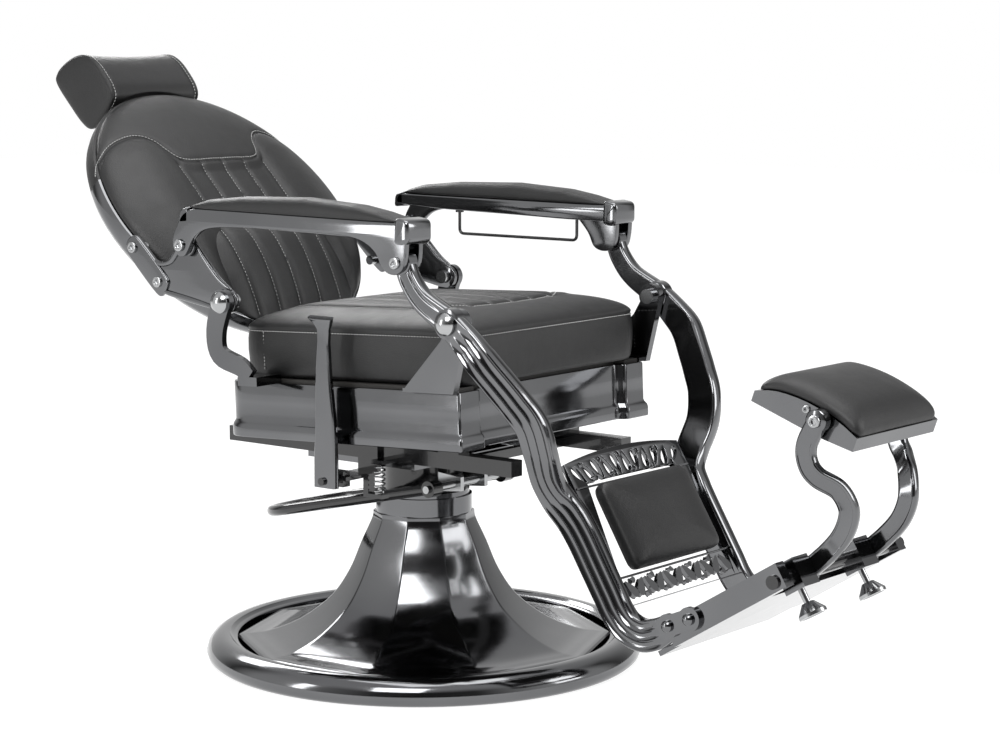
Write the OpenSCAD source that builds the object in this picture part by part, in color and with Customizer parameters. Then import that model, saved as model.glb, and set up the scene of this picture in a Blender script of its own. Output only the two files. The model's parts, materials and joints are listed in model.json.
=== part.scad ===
// Hydraulic barber chair: millimetres, +Z up, origin on the floor under the column.
// The sitter faces -Y, so +X is the sitter's left. The chair is shown part reclined.

/* [Base] */
// Diameter of the round floor disc
base_d = 700; // [600:10:860]
// Height of the disc's rolled rim
rim_h = 42; // [30:1:55]
// Height of the flared skirt's top edge
skirt_h = 236; // [200:2:290]
// Number of flat facets round the skirt
skirt_facets = 10; // [8:1:12]
// Outer diameter of the collar on top of the skirt
collar_d = 155; // [140:1:190]
// Height of the collar
collar_h = 36; // [26:1:46]

/* [Lift] */
// Outer diameter of the sleeve that rises with the seat
sleeve_d = 134; // [110:1:138]
// Diameter of the hydraulic ram
ram_d = 60; // [46:1:72]
// Travel of the hydraulic lift
lift_travel = 150; // [100:5:150]
// Height of the sleeve's top end
sleeve_top = 318; // [316:1:330]
// Diameter of the foot pedal's bar
pedal_d = 18; // [14:1:22]

/* [Seat] */
// Width across the seat pan
seat_w = 468; // [400:2:560]
// Distance from the column to the front of the seat pan
seat_front = 268; // [240:2:285]
// Distance from the column to the back of the seat pan
seat_rear = 215; // [190:2:216]
// Height of the pan's lower edge
pan_z = 374; // [372:1:380]
// Height of the pan's side wall
pan_h = 87; // [75:1:90]
// Backward rake of the seat, in degrees
seat_rake = 2.5; // [0:0.5:4]
// Height of the seat cushion at its crown
cushion_h = 118; // [95:1:120]

/* [Linkage] */
// Front pivot: distance ahead of the column, and height
front_pivot = [272, 578];
// Rear pivot: distance behind the column, and height
rear_pivot = [170, 582];
// Offset from each seat pivot to the armrest bolt above it
link_offset = [86, 84];
// Diameter of the two main pivot pins
pivot_d = 14; // [10:1:17]
// Diameter of the armrest bolts
bolt_d = 10; // [8:1:12]
// Thickness of the cast side frames
frame_t = 20; // [14:1:24]
// Thickness of the outer brackets and forks
plate_t = 10; // [6:1:12]

/* [Back] */
// Angle of the back from the vertical, in degrees
back_angle = 44; // [36:1:50]
// Diameter of the round back shell
shell_d = 520; // [460:4:524]
// Depth of the shell behind its front rim
shell_depth = 52; // [40:1:60]
// Width of the lumbar part of the back cushion
lumbar_w = 300; // [240:4:340]
// Width of the headrest pillow
headrest_w = 208; // [160:4:280]
// Travel of the headrest posts
headrest_travel = 60; // [40:5:70]

/* [Armrests] */
// Width of the armrest
arm_w = 54; // [46:1:60]
// Height of the armrest tray above its bolts
arm_rise = 42; // [38:1:50]
// Thickness of the armrest's metal tray
tray_h = 20; // [14:1:26]
// Height of the armrest pad at its crown
arm_pad_h = 26; // [18:1:34]

/* [Leg rest] */
// Angle of the lower leg from the vertical, in degrees
leg_angle = 31.5; // [24:0.5:36]
// Distance between the outer faces of the lower legs
leg_w = 340; // [300:2:360]
// Distance from the front pivot down to the platform's level
shin = 530; // [500:2:534]
// Width of the legs seen from the side
leg_bar = 52; // [40:1:56]
// Distance from the legs to the crossbar at the platform's front
platform_l = 245; // [220:1:280]
// Diameter of the crossbar that carries the foot pad's arms
crossbar_d = 20; // [16:1:24]
// Width of the foot pad
foot_pad_w = 226; // [190:2:250]
// Depth of the foot pad, front to back
foot_pad_l = 172; // [140:2:190]

/* [Hidden] */
$fn = 96;

// Colours
metal = "#4b4e52";
dark_metal = "#1d1f21";
steel = "#b9bcc0";
leather = "#2a2a2c";
board = "#8a6f4d";

// Clearances: running fit of a pin in a bore, gap beside a moving plate, open pivot
fit = 0.05;
gap = 1;
loose = 0.5;
soft_gap = 0.4;

// Stations across the chair, outwards from the middle plane
pan_x = seat_w / 2;
bracket_x = pan_x + 4;
bracket_t = 12;
frame_x = bracket_x + bracket_t + 3;
outer_x = frame_x + frame_t + gap;
wing_t = 8;
wing_x = outer_x - wing_t - 4;
knob_x = outer_x + plate_t;
leg_x = leg_w / 2 - frame_t - 4;

// Side-view points [y, z]
piv_f = [-front_pivot[0], front_pivot[1]];
piv_r = rear_pivot;
bolt_f = piv_f + link_offset;
bolt_r = piv_r + link_offset;

// Column heights
disc_top = 36;
skirt_r = base_d / 2 - 48;
skirt_z = 7;
collar_z = skirt_h;
ram_low = collar_z - lift_travel - 62;
sleeve_low = collar_z - lift_travel - 22;
head_t = 9;
washer_t = 4;
plate_z = sleeve_top + head_t + washer_t;
swivel_t = 9;
rail_z = plate_z + swivel_t;
rail_h = pan_z - rail_z - 10;
rail_w = 26;
rail_out = 30;
rail_x = 140;
wall = 5;
cyl_d = sleeve_d - 24;
spindle_d = 44;

// Seat stack, before the rake
pan_flare = 5;
moulding_h = 23;
pan_wall = 7;
board_t = 20;
pan_top = pan_z + pan_h;
flange_t = 6;
board_low = pan_top + flange_t - board_t;
cushion_z = pan_top + flange_t + soft_gap;
cushion_w = seat_w - 16;

// Back stack, in the back's own frame: y rearwards, z up the back
shell_r = shell_d / 2;
shell_c = shell_r + 2;
rim_y = 98;
board_y = rim_y - 1;
back_board_t = 8;
cushion_crown = 52;
neck_z = 190;
post_x = 50;
post_d = 10;
post_y = rim_y + 28;
head_z = shell_c + shell_r - 26;
guide_l = headrest_travel + 50;
guide_low = head_z - guide_l - 20;

// Leg frame: y rearwards, z up the leg, origin at the front pivot
leg_y = 25;
knee_z = -215;
crossbar_y = leg_y - platform_l - 26;
foot_pivot = [crossbar_y - 152, 160 - shin];
arm_bar = 29;
arm_t = 16;
arm_top_x = foot_pad_w / 2 + gap + 3;
arm_foot_x = 74;
clamp_w = 40;
clamp_x = [arm_foot_x - gap - clamp_w, -arm_foot_x - arm_t - gap - clamp_w];
arm_eye = [crossbar_y, -shin - 8];

// ---------- Geometry helpers ----------

function unit(v) = v / norm(v);
function rot2(p, a) = [p[0] * cos(a) - p[1] * sin(a), p[0] * sin(a) + p[1] * cos(a)];
function reversed(p) = [for (i = [len(p) - 1 : -1 : 0]) p[i]];

// Smooth curve through a list of points, with n steps to each span
function curve_at(p, i, t) = let (
        a = p[max(i - 1, 0)],
        b = p[i],
        c = p[i + 1],
        d = p[min(i + 2, len(p) - 1)]
    ) 0.5 * (2 * b + (c - a) * t + (2 * a - 5 * b + 4 * c - d) * t * t
        + (3 * b - a - 3 * c + d) * t * t * t);
function curve(p, n) = concat(
    [for (i = [0 : len(p) - 2], j = [0 : n - 1]) curve_at(p, i, j / n)], [p[len(p) - 1]]);

// Edge points at a distance from a path, tapering from w0 to w1
function tangent(p, i) = unit(p[min(i + 1, len(p) - 1)] - p[max(i - 1, 0)]);
function edge(p, w0, w1) = [
    for (i = [0 : len(p) - 1])
        let (t = tangent(p, i), w = w0 + (w1 - w0) * i / (len(p) - 1))
            p[i] + w * [-t[1], t[0]]];

// Points of a circular arc
function arc(c, r, a0, a1, n) = [
    for (i = [0 : n]) c + r * [cos(a0 + (a1 - a0) * i / n), sin(a0 + (a1 - a0) * i / n)]];

// Points of a leg-frame or back-frame point in the chair's side view
function in_leg(p) = piv_f + rot2(p, -leg_angle);
function raked(p) = [0, pan_z] + rot2(p - [0, pan_z], -seat_rake);

// A bar of constant or tapering width along a path
module bar(p, w0, w1) polygon(concat(edge(p, w0 / 2, w1 / 2), reversed(edge(p, -w0 / 2, -w1 / 2))));

// Stands a side-view drawing up across the chair, from x0 outwards
module side(x0, t) translate([x0, 0, 0]) rotate([90, 0, 90]) linear_extrude(t) children();

// Draws for the left, and mirrored for the right
module on_side(s) mirror([s < 0 ? 1 : 0, 0, 0]) children();

module both() {
    children();
    mirror([1, 0, 0]) children();
}

// A round rod along X at a side-view point
module cross_rod(p, x0, x1, d) translate([x0, p[0], p[1]]) rotate([0, 90, 0]) cylinder(h = x1 - x0, d = d);

// Frames
module in_seat() translate([0, 0, pan_z]) rotate([-seat_rake, 0, 0]) translate([0, 0, -pan_z]) children();
module in_back() translate([0, piv_r[0], piv_r[1]]) rotate([-back_angle, 0, 0]) children();
module in_leg_frame() translate([0, piv_f[0], piv_f[1]]) rotate([-leg_angle, 0, 0]) children();
module in_foot_pad() in_leg_frame() translate([0, foot_pivot[0], foot_pivot[1]]) rotate([51, 0, 0]) children();

// A domed bolt head facing outwards along +X
module bolt_head(p, x, d) translate([x, p[0], p[1]]) rotate([0, 90, 0]) {
    cylinder(h = 4, d = d);
    translate([0, 0, 4]) intersection() {
        translate([0, 0, -d * 0.36]) sphere(d = d * 1.24);
        cylinder(h = d / 2, d = d);
    }
}

// ---------- Base ----------

// Half section of the rolled rim, inset from its outer surface
rim_r = base_d / 2;
lip_r = rim_r - 46;
module rim() polygon(concat(
    arc([rim_r - 14, 14], 14, -90, 60, 10),
    arc([rim_r - 35, rim_h - 16], 16, 60, 110, 6),
    [[lip_r, disc_top], [lip_r, 0]]));

// A flat floor plate with a solid rolled rim round it
module base_disc() color(metal) rotate_extrude($fn = 180) {
    rim();
    translate([sleeve_d / 2, 0]) square([rim_r - 30 - sleeve_d / 2, skirt_z]);
}

module base_skirt() color(metal) {
    flare = [[skirt_r, 23], [skirt_r * 0.82, 32], [skirt_r * 0.66, 52], [skirt_r * 0.5, 88],
        [skirt_r * 0.4, 131], [skirt_r * 0.335, 178], [collar_d / 2 + 4, skirt_h - skirt_z]];
    outline = concat([[skirt_r, 0]], curve(flare, 3));
    translate([0, 0, skirt_z]) rotate(22) rotate_extrude($fn = skirt_facets)
        polygon(concat(outline, [[sleeve_d / 2 + 5, skirt_h - skirt_z], [sleeve_d / 2 + 5, 0]]));
}

module base_collar() color(dark_metal) translate([0, 0, collar_z]) difference() {
    union() {
        cylinder(h = collar_h - 8, d = collar_d);
        cylinder(h = collar_h, d = collar_d - 8);
    }
    translate([0, 0, -1]) cylinder(h = collar_h + 2, d = sleeve_d + 8);
}

module guide_bush() color(steel) translate([0, 0, collar_z + 4]) difference() {
    cylinder(h = collar_h - 8, d = sleeve_d + 8);
    translate([0, 0, -1]) cylinder(h = collar_h, d = sleeve_d + 2 * fit);
}

module pump_cylinder() color(steel) difference() {
    union() {
        cylinder(h = disc_top - 10, d = sleeve_d);
        cylinder(h = collar_z + 20, d = cyl_d);
    }
    translate([0, 0, ram_low - 10]) cylinder(h = collar_z, d = ram_d + 2 * fit);
    translate([0, 0, collar_z - 20]) cylinder(h = 41, d = ram_d + 2 * fit);
}

// ---------- Lift ----------

module lift_ram() color(steel) translate([0, 0, ram_low]) cylinder(h = sleeve_top - ram_low, d = ram_d);

module lift_sleeve() color(dark_metal) translate([0, 0, sleeve_low]) difference() {
    cylinder(h = sleeve_top - sleeve_low, d = sleeve_d);
    translate([0, 0, -1]) cylinder(h = sleeve_top - sleeve_low + 2, d = sleeve_d - 2 * wall);
}

module lift_head() color(dark_metal) translate([0, 0, sleeve_top]) {
    cylinder(h = head_t, d = sleeve_d + 8);
    cylinder(h = head_t + washer_t + swivel_t + 12, d = spindle_d);
}

module thrust_washer() color(steel) translate([0, 0, sleeve_top + head_t]) difference() {
    cylinder(h = washer_t, d = sleeve_d - 6);
    translate([0, 0, -1]) cylinder(h = washer_t + 2, d = spindle_d + 2 * fit);
}

// Two lugs and a shaft on the front of the sleeve carry the foot pedal
pedal_pivot = [-sleeve_d / 2 - 26, 292];
pedal_pin_d = 12;
strand_x = collar_d / 2 + pedal_d / 2 + 4;
module pedal_lugs() color(steel) difference() {
    union() {
        cross_rod(pedal_pivot, -strand_x - 16, strand_x + 16, pedal_pin_d);
        for (x = [-34, 26]) side(x, 8) polygon([
            pedal_pivot + [-11, -11], pedal_pivot + [-11, 11], [-sleeve_d / 2 + 18, 308],
            [-sleeve_d / 2 + 18, 276]]);
    }
    translate([0, 0, sleeve_low]) cylinder(h = sleeve_top, d = sleeve_d);
}

// A loop of bar runs from the shaft past both sides of the column to the tread behind it
module pump_pedal() color(dark_metal) {
    tread_y = sleeve_d / 2 + 245;
    drop = -12.5;
    translate([0, pedal_pivot[0], pedal_pivot[1]]) rotate([drop, 0, 0]) {
        difference() {
            union() {
                for (s = [-1, 1]) translate([s * strand_x, 0, 0]) {
                    rotate([-90, 0, 0]) cylinder(h = tread_y, d = pedal_d);
                    rotate([0, 90, 0]) cylinder(h = pedal_d + 4, d = pedal_d + 8, center = true);
                }
                translate([0, tread_y, 0]) rotate_extrude(angle = 180)
                    translate([strand_x, 0]) circle(d = pedal_d);
            }
            translate([-strand_x - pedal_d, 0, 0]) rotate([0, 90, 0])
                cylinder(h = 2 * (strand_x + pedal_d), d = pedal_pin_d + 2 * fit);
        }
    }
}

// ---------- Seat frame ----------

module swivel_plate() color(dark_metal) translate([0, 0, plate_z]) difference() {
    translate([-rail_x - rail_w / 2, -110, 0]) cube([2 * rail_x + rail_w, 220, swivel_t]);
    translate([0, 0, -1]) cylinder(h = swivel_t + 2, d = spindle_d + 2 * fit);
}

lock_z = rail_z + rail_h / 2 + 6;
lock_front = -170;
lock_rear = 172;
lock_pin_d = 12;
module seat_rails() color(dark_metal) {
    both() translate([rail_x - rail_w / 2, -seat_front - rail_out, rail_z])
        cube([rail_w, seat_front + seat_rear + rail_out + 68, rail_h]);
    translate([-rail_x, lock_front - 14, rail_z]) cube([2 * rail_x, 14, 14]);
    cross_rod([lock_rear, lock_z], -rail_x, rail_x, lock_pin_d);
}

// Four posts carry the seat board on the rails
module seat_risers() color(dark_metal) both() for (y = [-seat_front * 0.66, seat_rear * 0.62])
    intersection() {
        translate([rail_x - rail_w / 2, y - 20, rail_z + rail_h]) cube([rail_w, 40, pan_h + 40]);
        in_seat() translate([0, y - 60, board_low - 200]) cube([seat_w / 2, 120, 200]);
    }

// The gas lock that holds the recline lies between the rails
module lock_cylinder() color(steel) {
    translate([60, lock_front, lock_z]) rotate([-90, 0, 0]) {
        cylinder(h = 230, d = 26);
        cylinder(h = lock_rear - lock_front - 8, d = 9);
    }
    difference() {
        cross_rod([lock_rear, lock_z], 52, 68, 22);
        cross_rod([lock_rear, lock_z], 51, 69, lock_pin_d);
    }
}

lever_y = -22;
lever_x = bracket_x + 20;
lever_z = 326;
spring_x = rail_x + rail_w / 2 + 30;
spring_y = lever_y - 44;
spring_h = 44;
spring_z = rail_z - spring_h;
module lever_mount() color(dark_metal) mirror([1, 0, 0]) {
    translate([rail_x + rail_w / 2, lever_y - 20, rail_z - 22])
        cube([lever_x - rail_x - rail_w / 2 - 24, 40, 6]);
    translate([rail_x + rail_w / 2, lever_y - 20, rail_z - 16]) cube([8, 40, 16 + rail_h]);
    translate([lever_x - 40, lever_y - 14, lever_z - 18]) cube([16, 28, 24]);
    translate([spring_x - 8, spring_y - 11, spring_z - 8]) cube([16, 34, 6]);
    translate([spring_x - 8, spring_y + 17, spring_z - 8]) cube([16, 10, 36]);
    translate([rail_x + rail_w / 2, spring_y - 11, spring_z + spring_h + 1]) cube([38, 22, 6]);
    cross_rod([lever_y, lever_z - 6], lever_x - 26, lever_x + 11, 12);
}

// Helical return spring between the rail and the lever mount
module lever_spring() color(steel) {
    wire = 3;
    turns = 6;
    coil_r = 8;
    steps = 12 * turns;
    ring = 8;
    points = [for (i = [0 : steps], j = [0 : ring - 1])
        let (a = 360 * turns * i / steps, b = 360 * j / ring, r = coil_r + wire / 2 * cos(b))
            [r * cos(a), r * sin(a), spring_h * i / steps + wire / 2 * sin(b)]];
    sides = [for (i = [0 : steps - 1], j = [0 : ring - 1])
        let (k = (j + 1) % ring)
            [i * ring + j, i * ring + k, (i + 1) * ring + k, (i + 1) * ring + j]];
    ends = [[for (j = [ring - 1 : -1 : 0]) j], [for (j = [0 : ring - 1]) steps * ring + j]];
    translate([-spring_x, spring_y, spring_z])
        polyhedron(points, concat([for (f = sides) reversed(f)], [reversed(ends[0]), reversed(ends[1])]));
}

// A long flat lever outside the pan, wide at its paddle and its foot
module recline_lever() color(metal) mirror([1, 0, 0]) difference() {
    top_z = 570;
    centre = [[lever_y - 3, lever_z - 16], [lever_y - 3, lever_z + 30], [lever_y - 2, lever_z + 90],
        [lever_y + 1, lever_z + 150], [lever_y, top_z - 30], [lever_y, top_z]];
    widths = [43, 42, 27, 21, 30, 50];
    path = curve([for (i = [0 : 5]) [centre[i][0], centre[i][1], widths[i]]], 5);
    side(lever_x - 6, 12) polygon(concat(
        [for (p = path) [p[0] + p[2] / 2, p[1]]],
        [for (p = reversed(path)) [p[0] - p[2] / 2, p[1]]]));
    cross_rod([lever_y, lever_z - 6], lever_x - 10, lever_x + 10, 12 + 2 * fit);
}

// Plan of the pan: a D with stepped front corners, grown by e all round
corner_w = 50;
step_d = 15;
rear_r = 55;
function pan_plan(e) = let (x = pan_x + e, f = seat_front + e, s = pan_x - corner_w - e) concat(
    [[s, -f], [x, -f], [x, seat_rear - rear_r]],
    arc([pan_x - rear_r, seat_rear - rear_r], rear_r + e, 10, 80, 5),
    arc([-pan_x + rear_r, seat_rear - rear_r], rear_r + e, 100, 170, 5),
    [[-x, seat_rear - rear_r], [-x, -f], [-s, -f], [-s + step_d / 2, -f + step_d],
        [s - step_d / 2, -f + step_d]]);

module seat_pan() color(metal) in_seat() difference() {
    union() {
        translate([0, 0, pan_z]) linear_extrude(moulding_h) polygon(pan_plan(pan_flare));
        translate([0, 0, pan_z]) linear_extrude(pan_h) polygon(pan_plan(0));
    }
    translate([0, 0, pan_z - 1]) linear_extrude(pan_h + 2) polygon(pan_plan(-pan_wall));
}

module seat_board() color(board) in_seat() translate([0, 0, board_low])
    linear_extrude(board_t) polygon(pan_plan(-pan_wall));

module seat_cushion() color(leather) in_seat() translate([0, 0, cushion_z]) {
    half = cushion_w / 2;
    front = seat_front + 4;
    rear = seat_rear - 30;
    r = 46;
    plan = concat(
        arc([half - r, rear - r], r, 0, 90, 6), arc([-half + r, rear - r], r, 90, 180, 6),
        arc([-half + r, -front + r], r, 180, 255, 5), arc([half - r, -front + r], r, 285, 360, 5));
    linear_extrude(cushion_h - 34) polygon(plan);
    translate([0, 0, cushion_h - 34]) hull() {
        linear_extrude(1) polygon(plan);
        translate([0, 0, 22]) linear_extrude(1) polygon([for (p = plan) p * 0.92]);
        translate([0, 0, 33]) linear_extrude(1) polygon([for (p = plan) p * 0.72]);
    }
}

// ---------- Seat brackets and pivots ----------

module front_bracket() color(dark_metal) difference() {
    union() {
        foot_rear = raked([-seat_front + 96, pan_top]);
        foot_front = raked([-seat_front - 2, pan_top]);
        side(bracket_x, bracket_t) {
            polygon([foot_front, foot_rear, piv_f + [30, -30], piv_f + [17, -8], piv_f + [-19, -4]]);
            translate(piv_f) circle(r = 20);
        }
        in_seat() translate([pan_x - 5, -seat_front + 4, pan_top])
            cube([bracket_x - pan_x + 5 + bracket_t, 90, flange_t]);
    }
    cross_rod(piv_f, bracket_x - 1, bracket_x + bracket_t + 1, pivot_d);
}
module front_bracket_left() on_side(1) front_bracket();
module front_bracket_right() on_side(-1) front_bracket();

module rear_bracket() color(dark_metal) difference() {
    foot = raked([seat_rear - 108, pan_top + 14]);
    path = curve([piv_r, piv_r + [14, -46], piv_r + [6, -82], foot + [20, 14], foot], 5);
    union() {
        side(outer_x, plate_t) {
            bar(path, 38, 26);
            translate(piv_r) circle(r = 20);
        }
        in_seat() translate([pan_x - 5, seat_rear - 124, pan_top])
            cube([outer_x + plate_t - pan_x + 5, 40, 14]);
    }
    in_seat() translate([pan_x - 8, seat_rear - 130, pan_top - 30])
        cube([outer_x + plate_t - pan_x + 20, 60, 30]);
    cross_rod(piv_r, outer_x - 1, outer_x + plate_t + 1, pivot_d);
}
module rear_bracket_left() on_side(1) rear_bracket();
module rear_bracket_right() on_side(-1) rear_bracket();

module front_pivot_pins() color(steel) both() {
    cross_rod(piv_f, bracket_x - 4, frame_x + frame_t + gap, pivot_d);
    cross_rod(piv_f, bracket_x - 8, bracket_x, pivot_d + 10);
    bolt_head(piv_f, frame_x + frame_t + gap, 34);
}

module rear_pivot_pins() color(steel) both() {
    cross_rod(piv_r, wing_x - 4, knob_x, pivot_d);
    cross_rod(piv_r, wing_x - 12, wing_x - 1, pivot_d + 8);
    bolt_head(piv_r, knob_x, 34);
}

// ---------- Back ----------

// Turns a shape about the back's thickness axis, centred on the round shell
module back_round() in_back() translate([0, 0, shell_c]) rotate([-90, 0, 0]) children();

module back_shell() color(metal) difference() {
    back_round() rotate_extrude($fn = 120) polygon(concat(
        [[shell_r - 6, rim_y], [shell_r, rim_y], [shell_r, rim_y + 18]],
        arc([shell_r - 26, rim_y + 20], 26, 0, 70, 6),
        [[shell_r * 0.6, rim_y + shell_depth], [0, rim_y + shell_depth + 2],
            [0, rim_y + shell_depth - 4], [shell_r * 0.6, rim_y + shell_depth - 6]],
        arc([shell_r - 30, rim_y + 20], 24, 70, 0, 6)));
    in_back() for (x = [-post_x, post_x]) translate([x, post_y, shell_c])
        cylinder(h = shell_r + 10, d = post_d + 6);
}

module back_board() color(board) back_round() translate([0, 0, board_y + 1]) cylinder(h = back_board_t, r = shell_r - 6);

module back_cushion() color(leather) difference() {
    r = shell_r - 18;
    back_round() rotate_extrude() polygon(concat(
        [[0, board_y]], arc([r - 16, board_y - 18], 16, 80, -40, 6),
        [[r * 0.72, cushion_crown + 8], [r * 0.4, cushion_crown], [0, cushion_crown]]));
    in_back() translate([-shell_r, 0, -10]) cube([shell_d, 200, neck_z + 10]);
}

// The lumbar part is narrower than the oval above, and curls away at its foot
module lumbar_cushion() color(leather) in_back() side(-lumbar_w / 2, lumbar_w) {
    polygon(concat(
        [[board_y, neck_z - soft_gap], [board_y, 26]],
        curve([[92, 30], [76, 66], [62, 110], [54, 150], [cushion_crown, neck_z - soft_gap]], 3)));
}

// Wing plate: a strap bolted to the shell's side, and a web to the pivot and armrest bolt
strap_a = piv_r + [206, 74];
strap_b = piv_r + [150, 22];
strap_tilt = atan2(strap_a[1] - strap_b[1], strap_a[0] - strap_b[0]);
module back_wing() color(metal) difference() {
    side(wing_x, wing_t) {
        polygon(concat(arc(strap_a, 19, strap_tilt - 90, strap_tilt + 90, 8),
            arc(strap_b, 19, strap_tilt + 90, strap_tilt + 270, 8)));
        polygon(concat(
            curve([strap_b + [24, 28], strap_b + [-20, 28], bolt_r + [6, 9]], 4),
            curve([bolt_r + [-30, 6], piv_r + [34, 60], piv_r + [4, 30], piv_r + [-15, 4]], 4),
            [piv_r + [0, -15], strap_b + [8, -12]]));
        translate(bolt_r) circle(r = 17);
        translate(piv_r) circle(r = 19);
    }
    cross_rod(piv_r, wing_x - 1, wing_x + wing_t + 1, pivot_d + 2 * fit);
    cross_rod(bolt_r, wing_x - 1, wing_x + wing_t + 1, bolt_d);
    for (p = [strap_a, strap_b]) cross_rod(p, wing_x - 1, wing_x + wing_t + 1, 8);
}
module back_wing_left() on_side(1) back_wing();
module back_wing_right() on_side(-1) back_wing();

// The bolts and their spacers carry the wing plates on the shell's side
module wing_bolts() color(steel) both() for (p = [strap_a, strap_b]) {
    cross_rod(p, wing_x - 3, wing_x + wing_t, 8);
    bolt_head(p, wing_x + wing_t, 17);
    difference() {
        cross_rod(p, shell_r - 60, wing_x, 16);
        back_round() cylinder(h = 300, r = shell_r);
    }
}

module armrest_pins() color(steel) both() {
    cross_rod(bolt_r, wing_x, knob_x + gap, bolt_d);
    bolt_head(bolt_r, knob_x + gap, 19);
}

// Guide tubes inside the top of the shell hold the headrest posts
module headrest_guide() color(dark_metal) in_back() difference() {
    union() {
        for (x = [-post_x, post_x]) translate([x, post_y, guide_low]) cylinder(h = guide_l, d = post_d + 10);
        translate([-post_x, post_y - 4, guide_low + 10]) cube([2 * post_x, 8, 60]);
        translate([-post_x, rim_y + back_board_t, guide_low + 20])
            cube([2 * post_x, post_y - rim_y - back_board_t, 20]);
    }
    for (x = [-post_x, post_x]) translate([x, post_y, guide_low - 1])
        cylinder(h = guide_l + 2, d = post_d + 2 * fit);
}

module headrest_posts() color(steel) in_back() for (x = [-post_x, post_x])
    translate([x, post_y, guide_low + 2]) cylinder(h = guide_l + 68, d = post_d);

// D-shaped pillow: flat behind, crowned towards the head
module headrest_pillow() color(leather) in_back() difference() {
    side(-headrest_w / 2, headrest_w) polygon(concat(
        arc([170, head_z + 31], 12, 0, -90, 4),
        curve([[158, head_z + 18], [119, head_z + 17], [92, head_z + 22], [85, head_z + 42],
            [85, head_z + 76], [89, head_z + 104], [106, head_z + 128], [142, head_z + 142]], 3),
        arc([168, head_z + 132], 14, 90, 0, 4)));
    for (x = [-post_x, post_x]) translate([x, post_y, head_z - 5]) cylinder(h = 55, d = post_d);
    translate([0, 0, shell_c]) rotate([-90, 0, 0]) cylinder(h = 200, r = shell_r + 3);
}

// ---------- Armrests ----------

arm_x = outer_x + plate_t - arm_w;
arm_rear = bolt_r[0] - 6;
arm_front = bolt_f[0] - 19;
tray_z = bolt_f[1] + arm_rise;

// The tray with its front cap, its arched rear bracket and its front fork plate
module armrest_tray() color(metal) difference() {
    union() {
        side(arm_x, arm_w) polygon([
            [arm_rear, tray_z], [arm_rear, tray_z + tray_h - 6], [arm_rear - 12, tray_z + tray_h],
            [arm_front + 22, tray_z + tray_h - 4], [arm_front + 16, tray_z + tray_h + 3],
            [arm_front, tray_z + tray_h - 2], [arm_front, tray_z - 5], [arm_front + 22, tray_z - 6],
            [arm_front + 60, tray_z]]);
        side(outer_x, plate_t) {
            polygon(concat(
                [[arm_rear, tray_z + 4], [arm_rear, bolt_r[1] + 8]],
                [bolt_r + [-4, -17]], curve([bolt_r + [-15, -6], bolt_r + [-26, 12],
                    [arm_rear - 56, tray_z - 8], [arm_rear - 92, tray_z + 4]], 4)));
            translate(bolt_r) circle(r = 17);
            polygon(concat(
                [[bolt_f[0] - 17, tray_z - 2], bolt_f + [-17, 4], bolt_f + [4, -16]],
                curve([bolt_f + [22, -6], bolt_f + [48, 12], bolt_f + [104, 22],
                    [bolt_f[0] + 160, tray_z + 4]], 4)));
            translate(bolt_f) circle(r = 16);
        }
    }
    cross_rod(bolt_r, outer_x - 1, outer_x + plate_t + 1, bolt_d + 2 * fit);
    cross_rod(bolt_f, outer_x - 1, outer_x + plate_t + 1, bolt_d);
}
module armrest_tray_left() on_side(1) armrest_tray();
module armrest_tray_right() on_side(-1) armrest_tray();

module armrest_pad() color(leather) {
    pad_front = arm_front + 24;
    pad_rear = arm_rear - 12;
    base_front = tray_z + tray_h - 4 + soft_gap;
    base_rear = tray_z + tray_h + soft_gap;
    side(arm_x + 1, arm_w - 2) polygon(concat(
        [[pad_front, base_front]],
        curve([[pad_front, base_front + 4], [pad_front + 40, base_front + arm_pad_h * 0.7],
            [pad_front + 180, base_rear + arm_pad_h], [pad_rear - 50, base_rear + arm_pad_h * 0.6],
            [pad_rear, base_rear + 5]], 4),
        [[pad_rear, base_rear]]));
}
module armrest_pad_left() on_side(1) armrest_pad();
module armrest_pad_right() on_side(-1) armrest_pad();

// The front bolts run loose in the side frames, where the linkage is left open
module fork_bolt() color(steel) {
    cross_rod(bolt_f, frame_x, knob_x, bolt_d);
    bolt_head(bolt_f, knob_x, 18);
}
module fork_bolt_left() on_side(1) fork_bolt();
module fork_bolt_right() on_side(-1) fork_bolt();

module towel_bar() color(dark_metal) {
    bar_x = arm_x + 10;
    bar_front = -126;
    bar_rear = 120;
    drop = tray_z - 44;
    wire = 5;
    for (y = [bar_front, bar_rear]) {
        translate([bar_x, y, drop]) cylinder(h = tray_z - drop, d = wire);
        translate([bar_x, y, drop]) sphere(d = wire);
        translate([bar_x, y, tray_z - 5]) cylinder(h = 5, d = 14);
    }
    translate([bar_x, bar_front, drop]) rotate([-90, 0, 0]) cylinder(h = bar_rear - bar_front, d = wire);
}

// ---------- Side frames and leg rest ----------

// Each frame is one casting: an arm up to the armrest bolt, a leg down to the platform.
// Below its pivot the leg leans inwards, from beside the seat to beside the calf panel.
hip = [leg_y - 46, -72];
knee = [leg_y - 51, knee_z + 35];
knee_mid = [leg_y - 29, knee_z - 11];
knee_low = [leg_y, knee_z - 57];
shin_top = [leg_y, knee_z - 115];
module leg_slice(p, x, tilt = 0, inset = 0) translate([x, p[0], p[1]]) rotate([tilt, 0, 0])
    cube([frame_t - inset, leg_bar - inset, 2], center = true);

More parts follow.
